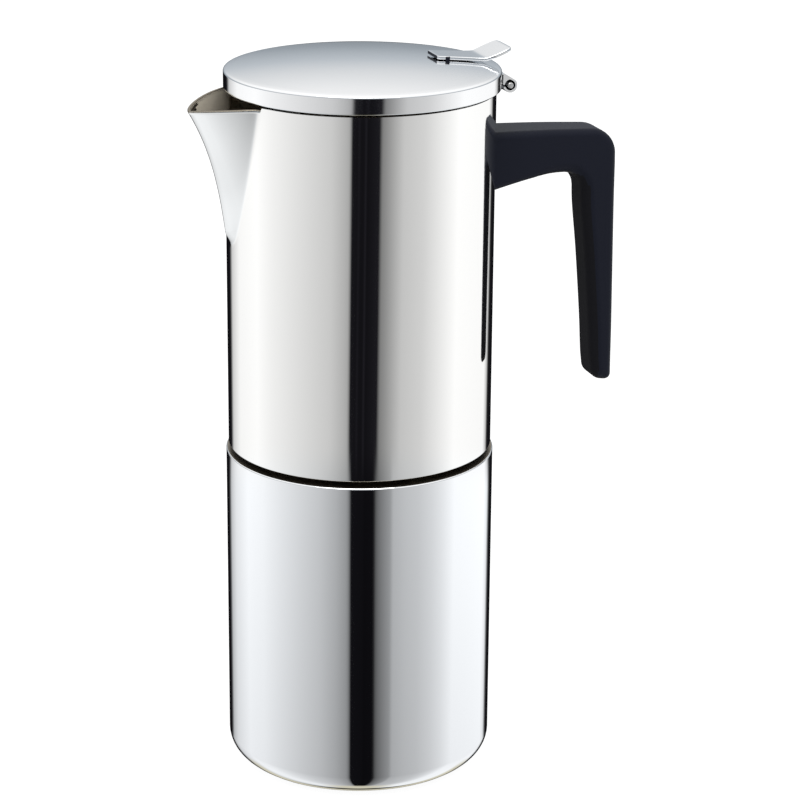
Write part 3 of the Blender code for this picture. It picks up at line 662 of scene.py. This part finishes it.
def make_lid():
    skirt = span("lid_shell")[0].z
    edge, crown_share = 0.8, 0.975
    lip = LID_WALL / 2
    outer = [(LID_R - lip + lip * math.cos(t), skirt + lip + lip * math.sin(t))
             for t in (math.pi * (k / 8 - 1) for k in range(9))]
    outer += [(LID_R - edge + edge * math.cos(t), LID_EDGE - edge + edge * math.sin(t))
              for t in (math.radians(84) * k / 12 for k in range(13))]
    crown = [LID_R * crown_share * (1 - k / 20) for k in range(21)]
    top = [(r, lid_height(r)) for r in crown]
    under = [(r, lid_height(r) - LID_WALL) for r in crown[:0:-1]]
    under += [(LID_R - LID_WALL - 0.7, LID_EDGE - LID_WALL - 0.15),
              (LID_R - LID_WALL, LID_EDGE - LID_WALL - 0.9)]
    shell = turned("lid_shell_fine", [*outer, *top, *under], "lid", FINE, sharp=60)
    shell.data.transform(Matrix.Translation((LID_OFFSET * MM, 0, 0)))
    place(shell, "lid", "lid_shell")


def lever_line():
    """Points of the lever's underside with a soft bend, and its half width at each."""
    bend_z = lid_height(LEVER_BEND - LID_OFFSET) + GAP + 0.1
    root_z = lid_height(LEVER_START - LID_OFFSET) + GAP + LEVER_RISE
    fall = (root_z - bend_z) / (LEVER_BEND - LEVER_START)
    rise, soft = math.tan(LEVER_TILT), 1.4
    steps = 48
    for i in range(steps + 1):
        x = LEVER_START + (LEVER_END - LEVER_START) * i / steps
        flat = bend_z + (LEVER_BEND - x) * fall
        tilted = bend_z + (x - LEVER_BEND) * rise
        z = (flat + tilted + math.sqrt((tilted - flat) ** 2 + soft * 0.1)) / 2
        near_end = max(0.0, 1 - (LEVER_END - x) / TAB_CORNER)
        near_root = max(0.0, 1 - (x - LEVER_START) / ROOT_CORNER)
        inset = TAB_CORNER * (1 - math.sqrt(max(0.0, 1 - near_end**2)))
        inset += ROOT_CORNER * (1 - math.sqrt(max(0.0, 1 - near_root**2)))
        widened = min(1.0, (x - LEVER_START) / (LEVER_BEND + 3 - LEVER_START))
        half = LEVER_ROOT_HALF + (LEVER_TAB_HALF - LEVER_ROOT_HALF) * widened**2
        yield x, z, half - inset


def make_lever():
    """The thumb lever, a bent strip with rounded corners and softened edges."""
    line = list(lever_line())
    bm = bmesh.new()
    rings = []
    soft, turns = LEVER_SOFT, 4
    for i, (x, z, half) in enumerate(line):
        before, after = line[max(0, i - 1)], line[min(len(line) - 1, i + 1)]
        slope = Vector((after[0] - before[0], 0, after[1] - before[1])).normalized()
        up = Vector((-slope.z, 0, slope.x))
        end = 0.85 if i == 0 else min(1.0, 0.35 + (len(line) - 1 - i) * 0.65)
        ring = []
        for sx, sz, first in ((1, 0, -90), (1, 1, 0), (-1, 1, 90), (-1, 0, 180)):
            centre_y = sx * (half - soft)
            centre_t = LEVER_T / 2 + (LEVER_T / 2 - soft) * (1 if sz else -1) * end
            for k in range(turns + 1):
                t = math.radians(first + 90 * k / turns)
                y = centre_y + soft * math.cos(t)
                lift = centre_t + soft * end * math.sin(t)
                ring.append(bm.verts.new(Vector((x, y, z)) + up * lift))
        rings.append(ring)
    skin(bm, rings)
    lever = finish_mesh("lid_lever_fine", bm, "lid")
    lever.data.materials.append(MATERIALS["plastic"])  # the cut end at the root is painted black: a painted dark reflection
    for face in lever.data.polygons:
        if face.normal.x < -0.93:
            face.material_index = 1
    foot = lid_height(LUG_X) + GAP / 2
    for side in (-1, 1):
        near, far = side * (LEVER_ROOT_HALF - LUG_IN), side * (LEVER_ROOT_HALF + LUG_OUT)
        lug = block("lug", (LUG_X - LUG_HALF, min(near, far), foot - 0.1),
                    (LUG_X + LUG_HALF, max(near, far), foot + LUG_TOP), "plastic")
        boolean(lever, lug, "UNION")
    place(lever, "lid", "lid_lever")


def ribbon(path, thickness):
    """The closed outline of a bent sheet whose middle follows an (x, z) path."""
    left, right = [], []
    for i, here in enumerate(path):
        ahead = Vector(path[min(i + 1, len(path) - 1)]) - Vector(path[max(i - 1, 0)])
        side = Vector((-ahead.y, ahead.x)).normalized() * thickness / 2
        left.append(tuple(Vector(here) + side))
        right.append(tuple(Vector(here) - side))
    return left + right[::-1]


def curl(start, end, steps=36):
    """Points round the hinge pin, half-way through the knuckle's wall; angles in degrees."""
    middle = (KNUCKLE_IN + KNUCKLE_OUT) / 2
    turns = [math.radians(start + (end - start) * i / steps) for i in range(steps + 1)]
    return [(HINGE_X + middle * math.cos(t), HINGE_Z + middle * math.sin(t)) for t in turns]


def paint_eye_shade(thing):
    """Painted shade: the faces round the pin are made dark."""
    thing.data.materials.append(MATERIALS["plastic"])
    for face in thing.data.polygons:
        from_pin = Vector((face.center.x / MM - HINGE_X, face.center.z / MM - HINGE_Z)).length
        if from_pin < KNUCKLE_IN + 0.1 and abs(face.normal.y) < 0.5:
            face.material_index = 1


def make_hinge():
    """The lid's leaf with its two outer eyes, the jug's bracket with the third, and the pin."""
    half = LEAF_T / 2
    middle = (KNUCKLE_IN + KNUCKLE_OUT) / 2
    leaf_x = span("lid_hinge_leaf")[0].x
    touch = math.radians(TOUCH)
    start_z = HINGE_Z + middle * math.sin(touch)
    start_z += (HINGE_X + middle * math.cos(touch) - leaf_x) / math.tan(touch)
    tail = [(HINGE_X - 1.95, HINGE_Z - 0.8), (leaf_x + 0.4, HINGE_Z - 0.5)]
    leaf = extruded("lid_hinge_leaf_fine",
                    ribbon([(leaf_x, start_z), *curl(TOUCH, -142), *tail], LEAF_T - 0.02),
                    -KNUCKLE_HALF, KNUCKLE_HALF, "lid")
    web = [(leaf_x, start_z), *curl(TOUCH, 172, 12), (leaf_x, HINGE_Z + 0.35)]
    boolean(leaf, extruded("web", web, -KNUCKLE_HALF, KNUCKLE_HALF, "lid"), "UNION")
    room = block("room", (HINGE_X - 5, -KNUCKLE_MIDDLE, HINGE_Z - 4),
                 (HINGE_X + 5, KNUCKLE_MIDDLE, HINGE_Z + KNUCKLE_OUT + 0.6))
    boolean(leaf, room, "DIFFERENCE")
    bevel(leaf, KNUCKLE_EDGE, 2, 50)
    paint_eye_shade(leaf)
    place(leaf, "lid", "lid_hinge_leaf")

    bracket_x = span("hinge_bracket")[0].x + half
    bracket_low = span("hinge_bracket")[0].z
    level = HINGE_Z - middle
    width = KNUCKLE_MIDDLE - GAP
    path = [(bracket_x, bracket_low), (bracket_x, level - 1.4), (bracket_x + 0.35, level - 0.45),
            (bracket_x + 1.1, level - 0.02)]
    bracket = extruded("hinge_bracket_fine", ribbon(path + curl(270, 575), LEAF_T - 0.02),
                       -width, width, "lid")
    bevel(bracket, KNUCKLE_EDGE, 2, 50)
    paint_eye_shade(bracket)
    place(bracket, "jug", "hinge_bracket")

    pin_r = (pin_high.z - pin_low.z) / 2 - PIN_PLAY
    pin = turned("hinge_pin_fine", rounded([
        (0, pin_low.y, 0), (pin_r, pin_low.y, 0.35), (pin_r, pin_high.y, 0.35),
        (0, pin_high.y, 0),
    ], 5), "satin", 48)
    pin.data.transform(Matrix.Translation((HINGE_X * MM, 0, HINGE_Z * MM)) @ TO_Y)
    place(pin, "jug", "hinge_pin")


# ---------------------------------------------------------------- handle

grip_low = span("handle_grip")[0]
ROOT_X, TIP_X = 42.5, 88.0
ROOT_HALF, TIP_HALF = 9.0, 7.0
EDGE_ROUND, INNER_EDGE, FOOT_EDGE = 2.5, 4.2, 2.2
ARM_TOP, ARM_LOW = 217.5, 195.8  # at the root
SHADE_FACING, SHADE_BELOW = -0.45, 201  # the grip's faces towards the pot take a darker, duller copy of the plastic: painted shade
TONGUE_Z, TONGUE_H, TONGUE_W, TONGUE_END = 207.5, 5.0, 6.0, 64.0
FOOT_HALF_W, FOOT_HALF_H, PLATE_T = 5.0, 6.0, 1.0
SCREW_X, SCREW_R, SCREW_HEAD_R = 56.0, 1.6, 3.0


def arc(centre, radius, start, end, steps):
    turns = [math.radians(start + (end - start) * i / steps) for i in range(steps + 1)]
    return [(centre[0] + radius * math.cos(t), centre[1] + radius * math.sin(t)) for t in turns]


def curve_through(points, steps):
    """A smooth line through points, for the slow curves of the grip."""
    found = []
    for i in range(len(points) - 1):
        p0, p1 = Vector(points[max(0, i - 1)]), Vector(points[i])
        p2, p3 = Vector(points[i + 1]), Vector(points[min(len(points) - 1, i + 2)])
        for k in range(steps):
            t = k / steps
            bend = (2 * p0 - 5 * p1 + 4 * p2 - p3) * t**2 + (3 * p1 - p0 - 3 * p2 + p3) * t**3
            found.append(tuple(0.5 * (2 * p1 + (p2 - p0) * t + bend)))
    return found


def grip_outline():
    """The closed (x, z) outline of the arm and the hanging grip, clockwise from the arm's root."""
    low, root = grip_low.z, (ROOT_X - 6, ARM_LOW)
    top = curve_through([(ROOT_X - 6, ARM_TOP), (62, 216.9), (79.2, 216.1)], 7)
    top += arc((TIP_X - 9.1, 206.9), 9.2, 88, 6, 18)
    outer = curve_through([(TIP_X + 0.13, 205.0), (TIP_X + 0.15, 190), (TIP_X + 0.45, 165),
                           (TIP_X + 0.7, 145), (TIP_X + 0.7, low + 3)], 6)[1:]
    foot = arc((TIP_X - 1.7, low + 2.4), 2.4, 0, -90, 8)
    foot += arc((TIP_X - 2.3, low + 4.0), 4.0, -100, -172, 12)
    inner = curve_through([(81.35, low + 5.5), (80.9, 139), (80.0, 152), (78.3, 172), (76.6, 188),
                           (76.25, 195.5)], 6)[3:]
    corner = arc((69.6, 194.9), 6.6, 8, 90, 14)
    under = curve_through([(69.4, 201.5), (63, 201.4), (54, 199.9), root], 5)[1:]
    return top + outer + foot + inner + corner + under + [root]


def unit(value):
    return min(1.0, max(0.0, value))


def edge_round(x, z):
    """The grip's edges are rounder on the side that faces the pot, and tighter at its foot."""
    inner = unit((88 - x) / 3) * unit((x - 58) / 10) * unit((208 - z) / 4)
    inner *= 0.7 + 0.3 * unit((z - grip_low.z - 4) / 14)
    plain = FOOT_EDGE + (EDGE_ROUND - FOOT_EDGE) * unit((z - grip_low.z) / 8)
    return plain + (INNER_EDGE - plain) * inner


def inset(outline, amounts):
    """The outline moved inwards by an amount at each point; it runs clockwise seen from -Y."""
    moved = []
    n = len(outline)
    for i, here in enumerate(outline):
        back = (Vector(here) - Vector(outline[i - 1])).normalized()
        ahead = (Vector(outline[(i + 1) % n]) - Vector(here)).normalized()
        along = (back + ahead).normalized()
        side = Vector((along.y, -along.x))
        moved.append(tuple(Vector(here) + side * amounts[i] / max(0.5, along.dot(ahead))))
    return moved


def make_handle():
    outline = grip_outline()
    steps = 8
    turns = [math.pi / 2 * k / steps for k in range(steps + 1)]
    edge = [(1 - math.cos(t), 1 - math.sin(t)) for t in turns]
    radii = [edge_round(x, z) for x, z in outline]
    layers = [(-1, *drop) for drop in edge] + [(1, *drop) for drop in edge[::-1]]
    bm = bmesh.new()
    rings = []
    for sign, drop, inward in layers:
        row = []
        moved = inset(outline, [radius * inward for radius in radii])
        for (x, _), (ix, iz), radius in zip(outline, moved, radii):
            share = (x - ROOT_X) / (TIP_X - ROOT_X)
            half = ROOT_HALF + (TIP_HALF - ROOT_HALF) * share
            row.append(bm.verts.new((ix, sign * (half - radius * drop), iz)))
        rings.append(row)
    skin(bm, rings)
    grip = finish_mesh("handle_grip_fine", bm, "plastic", 50)
    # Painted shade: the lower faces towards the pot take the darker copy of the plastic.
    grip.data.materials.append(MATERIALS["shaded_plastic"])
    for face in grip.data.polygons:
        if face.normal.x < SHADE_FACING and face.center.z < SHADE_BELOW * MM:
            face.material_index = 1
    boolean(grip, upright("jug_clearance", [(0, 0)], JUG_R + GAP, 190, 225, FINE), "DIFFERENCE")
    plate = JUG_R + PLATE_T + 2 * GAP
    for name, low, high in (
        ("foot_recess", (ROOT_X - 3, -FOOT_HALF_W - GAP, TONGUE_Z - FOOT_HALF_H - GAP),
         (plate, FOOT_HALF_W + GAP, TONGUE_Z + FOOT_HALF_H + GAP)),
        ("pocket", (ROOT_X - 3, -TONGUE_W / 2 - GAP, TONGUE_Z - TONGUE_H / 2 - GAP),
         (TONGUE_END + GAP, TONGUE_W / 2 + GAP, TONGUE_Z + TONGUE_H / 2 + GAP)),
    ):
        boolean(grip, block(name, low, high), "DIFFERENCE")
    at = [(SCREW_X, 0)]
    boolean(grip, upright("hole", at, SCREW_R + GAP, 190, TONGUE_Z, 40), "DIFFERENCE")
    boolean(grip, upright("recess", at, SCREW_HEAD_R + GAP, 190, 202.0, 48), "DIFFERENCE")
    place(grip, "jug", "handle_grip")

    foot_x = JUG_R + GAP
    bracket = block("handle_bracket_fine", (foot_x, -FOOT_HALF_W, TONGUE_Z - FOOT_HALF_H),
                    (foot_x + PLATE_T, FOOT_HALF_W, TONGUE_Z + FOOT_HALF_H), "satin")
    tongue = block("tongue", (foot_x + 0.5, -TONGUE_W / 2, TONGUE_Z - TONGUE_H / 2),
                   (TONGUE_END, TONGUE_W / 2, TONGUE_Z + TONGUE_H / 2), "satin")
    boolean(bracket, tongue, "UNION")
    bevel(bracket, 0.3)
    boolean(bracket, upright("tapped", at, SCREW_R + GAP, 200, 215, 40), "DIFFERENCE")
    place(bracket, "jug", "handle_bracket")
    low, high = span("handle_screw")
    screw = turned("handle_screw_fine", rounded([
        (0, low.z, 0), (SCREW_HEAD_R, low.z, 0.4), (SCREW_HEAD_R, low.z + 1.2, 0.1),
        (SCREW_R, low.z + 2.1, 0.1), (SCREW_R, high.z, 0.3), (0, high.z, 0),
    ]), "satin", 64)
    screw.data.transform(Matrix.Translation((SCREW_X * MM, 0, 0)))
    for size in ((2.0, 0.4), (0.4, 2.0)):
        slot = block("slot", (SCREW_X - size[0], -size[1], low.z - 1),
                     (SCREW_X + size[0], size[1], low.z + 0.8))
        boolean(screw, slot, "DIFFERENCE")
    place(screw, "jug", "handle_screw")


# ---------------------------------------------------------------- studio

ORBIT = math.radians(17.5)  # the camera stands this far round from -Y towards -X
CAMERA_FAR, CAMERA_HIGH = 0.900, 0.4222  # metres
PITCH_DOWN, YAW, ROLL = 0.31734, 0.0151, 0.008  # radians
LENS, SENSOR = 126.5, 36.0


def make_camera():
    data = bpy.data.cameras.new("camera")
    data.lens, data.sensor_width = LENS, SENSOR
    forward = Vector((math.sin(YAW) * math.cos(PITCH_DOWN), math.cos(YAW) * math.cos(PITCH_DOWN),
                      -math.sin(PITCH_DOWN)))
    right = Vector((math.cos(YAW), -math.sin(YAW), 0))
    up = right.cross(forward)
    right, up = (right * math.cos(ROLL) + up * math.sin(ROLL),
                 up * math.cos(ROLL) - right * math.sin(ROLL))
    turn = Matrix.Rotation(-ORBIT, 3, "Z")
    axes = Matrix([turn @ right, turn @ up, turn @ -forward]).transposed()
    stand = Vector((-CAMERA_FAR * math.sin(ORBIT), -CAMERA_FAR * math.cos(ORBIT), CAMERA_HIGH))
    camera = bpy.data.objects.new("camera", data)
    camera.matrix_world = Matrix.Translation(stand) @ axes.to_4x4()
    bpy.context.scene.collection.objects.link(camera)
    bpy.context.scene.camera = camera


def linear(shade):
    """A display shade from 0 to 255 as light."""
    share = shade / 255
    return share / 12.92 if share <= 0.04045 else ((share + 0.055) / 1.055) ** 2.4


LEAN = 2.2  # degrees by which the tent's upper part stands further round to the right

# The light tent round the pot, as (bearing from the front in degrees, right positive, shade):
# white walls that fall off towards a dark gap at the front and a dark wall at the back.
JUG_TENT = [
    (-180, 10), (-157, 16), (-152, 26), (-149, 122), (-145, 205), (-128, 250), (-100, 258),
    (-84, 245), (-44, 217), (-26, 203), (-14, 179), (-10.5, 168), (-8.6, 22),
    (-3.2, 18), (-2.6, 30), (-2.0, 18), (2.2, 18), (2.8, 30), (3.4, 16), (13.4, 26),
    (14.6, 24), (16.2, 126), (22, 150), (35, 197), (54, 211), (75, 240), (90, 258), (138, 252),
    (145, 190), (149, 40), (153, 20), (180, 10),
]
BOILER_TENT = [
    (-180, 10), (-160, 13), (-155, 22), (-151, 100), (-147, 190), (-135, 228), (-112, 252),
    (-92, 247), (-53, 214), (-34, 196), (-20, 174), (-10.5, 150), (-8.6, 120),
    (-7.2, 16), (3, 14), (3.6, 24), (4.2, 12), (12.4, 14), (13.6, 78), (16, 107), (24, 142),
    (26.4, 150), (29, 178), (40, 190), (52, 198), (65, 213), (76, 229), (90, 252), (138, 257),
    (146, 235), (152, 80), (156, 16),
]
# How bright the tent is at each elevation, and where it turns to the warm table it stands on.
TENT_FALL = [
    (-90, 0.9), (-62, 0.93), (-50, 0.95), (-36, 0.93), (-30, 0.89), (-26, 0.88), (-19.9, 1.04),
    (-19.2, 0.97), (-13, 1.0),
]
FALL_SCALE = 1.2
TABLE_TONE, TABLE_FROM, TABLE_TO = (206, 201, 180), -74, -84
BACK_FROM, BACK_TO, BACK_START, BACK_FULL = -37, -46, -0.35, -0.55  # the table behind the pot
HORIZON_LOW, HORIZON_HIGH = -0.13, -0.02
# The sky, as (height, shade, coolness).
SKY = [(0.0, 152, 0.1), (0.05, 158, 0.1), (0.2, 191, 0.07), (0.3, 217, 0.02), (0.42, 240, 0.0),
       (0.6, 258, 0.0), (1.0, 262, 0.0)]
TENT_STRENGTH = 1.045
JUG_COOL, BOILER_COOL = -0.002, 0.02
SPLIT_HIGH, SPLIT_LOW = -19.2, -19.9  # the jug mirrors what is above, the boiler what is below
LEAN_FROM, LEAN_TO = -19, -12


def stop_colour(shade, cool):
    """The light of a stop; a dark one leans to blue-violet."""
    light = linear(shade)
    if shade < 40:
        return (light * 1.05, light, light * 1.28, 1)
    return (light * (1 - cool), light, light * (1 + cool), 1)


def ramp(tree, factor, stops):
    """The colour output of a ramp of (place, colour) stops."""
    made = add(tree, "ShaderNodeValToRGB", {"Fac": factor})
    bar = made.color_ramp.elements
    for i, (at, colour) in enumerate(stops):
        stop = bar[i] if i < 2 else bar.new(at)
        stop.position = at
        stop.color = colour
    return made.outputs["Color"]


def tent_ramp(tree, bearing, stops, cool):
    return ramp(tree, bearing, [((angle + 180) / 360, stop_colour(shade, cool))
                                for angle, shade in stops])


def blend(tree, factor, low, high):
    """Mixes two colours, each a value or another node's output."""
    mix = add(tree, "ShaderNodeMix", {"Factor": factor, 6: low, 7: high}, data_type="RGBA")
    return mix.outputs[2]


def at_elevation(degrees):
    return math.sin(math.radians(degrees))


def make_world():
    """Plain white to the camera; to the pot it is the light tent, brighter overhead."""
    world = bpy.data.worlds.new("studio")
    bpy.context.scene.world = world
    world.use_nodes = True
    tree = world.node_tree
    tree.nodes.clear()
    way = add(tree, "ShaderNodeTexCoord").outputs["Generated"]
    front = (-math.sin(ORBIT), -math.cos(ORBIT), 0)
    right = (math.cos(ORBIT), -math.sin(ORBIT), 0)
    dots = [add(tree, "ShaderNodeVectorMath", {0: way, 1: axis}, operation="DOT_PRODUCT")
            .outputs["Value"] for axis in (right, front, (0, 0, 1))]
    turn = add(tree, "ShaderNodeMath", {0: dots[0], 1: dots[1]}, operation="ARCTAN2").outputs[0]
    bearing = remap(tree, turn, 0, 1, -math.pi, math.pi)
    height = dots[2]
    lean = remap(tree, height, 0, LEAN / 360, at_elevation(LEAN_FROM), at_elevation(LEAN_TO))
    leant = add(tree, "ShaderNodeMath", {0: bearing, 1: lean}, operation="SUBTRACT").outputs[0]
    jug = tent_ramp(tree, leant, JUG_TENT, JUG_COOL)
    boiler = tent_ramp(tree, bearing, BOILER_TENT, BOILER_COOL)
    split = remap(tree, height, 0, 1, at_elevation(SPLIT_HIGH), at_elevation(SPLIT_LOW))
    below = blend(tree, split, jug, boiler)
    fall = ramp(tree, remap(tree, height, 0, 1, -1, 0),
                [(1 + at_elevation(elevation), (*[factor / FALL_SCALE] * 3, 1))
                 for elevation, factor in TENT_FALL])
    below = add(tree, "ShaderNodeVectorMath", {0: below, 1: fall},
                operation="MULTIPLY").outputs["Vector"]
    below = add(tree, "ShaderNodeVectorMath", {0: below, "Scale": FALL_SCALE},
                operation="SCALE").outputs["Vector"]
    table = (*[linear(shade) for shade in TABLE_TONE], 1)
    under = remap(tree, height, 0, 1, at_elevation(TABLE_FROM), at_elevation(TABLE_TO))
    behind = add(tree, "ShaderNodeMath", {
        0: remap(tree, height, 0, 1, at_elevation(BACK_FROM), at_elevation(BACK_TO)),
        1: remap(tree, dots[1], 0, 1, BACK_START, BACK_FULL),
    }, operation="MULTIPLY").outputs[0]
    on_table = add(tree, "ShaderNodeMath", {0: under, 1: behind}, operation="MAXIMUM").outputs[0]
    below = blend(tree, on_table, below, table)
    sky = ramp(tree, height, [(at, stop_colour(shade, cool)) for at, shade, cool in SKY])
    whole = blend(tree, remap(tree, height, 0, 1, HORIZON_LOW, HORIZON_HIGH), below, sky)
    tent = add(tree, "ShaderNodeBackground", {"Color": whole, "Strength": TENT_STRENGTH})
    plain = add(tree, "ShaderNodeBackground", {"Color": (1, 1, 1, 1), "Strength": 1.0})
    seen = add(tree, "ShaderNodeLightPath").outputs["Is Camera Ray"]
    mix = add(tree, "ShaderNodeMixShader", {0: seen})
    tree.links.new(tent.outputs[0], mix.inputs[1])
    tree.links.new(plain.outputs[0], mix.inputs[2])
    out = add(tree, "ShaderNodeOutputWorld")
    tree.links.new(mix.outputs[0], out.inputs["Surface"])


FLOOR_HALF, FLOOR_TONE, FLOOR_GLOW = 6000, 0.22, 0.88


def make_floor():
    """A pale light table, which the pot doesn't mirror: the tent has its own."""
    bm = bmesh.new()
    bmesh.ops.create_grid(bm, x_segments=8, y_segments=8, size=FLOOR_HALF)
    floor = finish_mesh("floor", bm, None)
    made = bpy.data.materials.new("light_table")
    made.use_nodes = True
    shader = made.node_tree.nodes["Principled BSDF"]
    shader.inputs["Base Color"].default_value = (FLOOR_TONE, FLOOR_TONE, FLOOR_TONE, 1)
    shader.inputs["Roughness"].default_value = 0.9
    shader.inputs["Specular IOR Level"].default_value = 0.0
    shader.inputs["Emission Color"].default_value = (1, 1, 1, 1)
    shader.inputs["Emission Strength"].default_value = FLOOR_GLOW
    floor.data.materials.append(made)
    floor.visible_glossy = False


def make_key():
    """A large soft box overhead, a little to the front."""
    light = bpy.data.lights.new("soft_box", "AREA")
    light.shape = "RECTANGLE"
    light.size, light.size_y = 1.2, 0.9
    light.energy = 14
    lamp = bpy.data.objects.new("soft_box", light)
    lamp.location = (-0.2, -0.5, 1.7)
    lamp.rotation_euler = (math.radians(16), math.radians(-6), 0)
    bpy.context.scene.collection.objects.link(lamp)


make_boiler()
make_valve()
make_funnel()
make_jug()
make_lid()
make_lever()
make_hinge()
make_handle()
make_camera()
make_world()
make_floor()
make_key()
bpy.context.scene.view_settings.view_transform = "Standard"

bpy.context.view_layer.update()
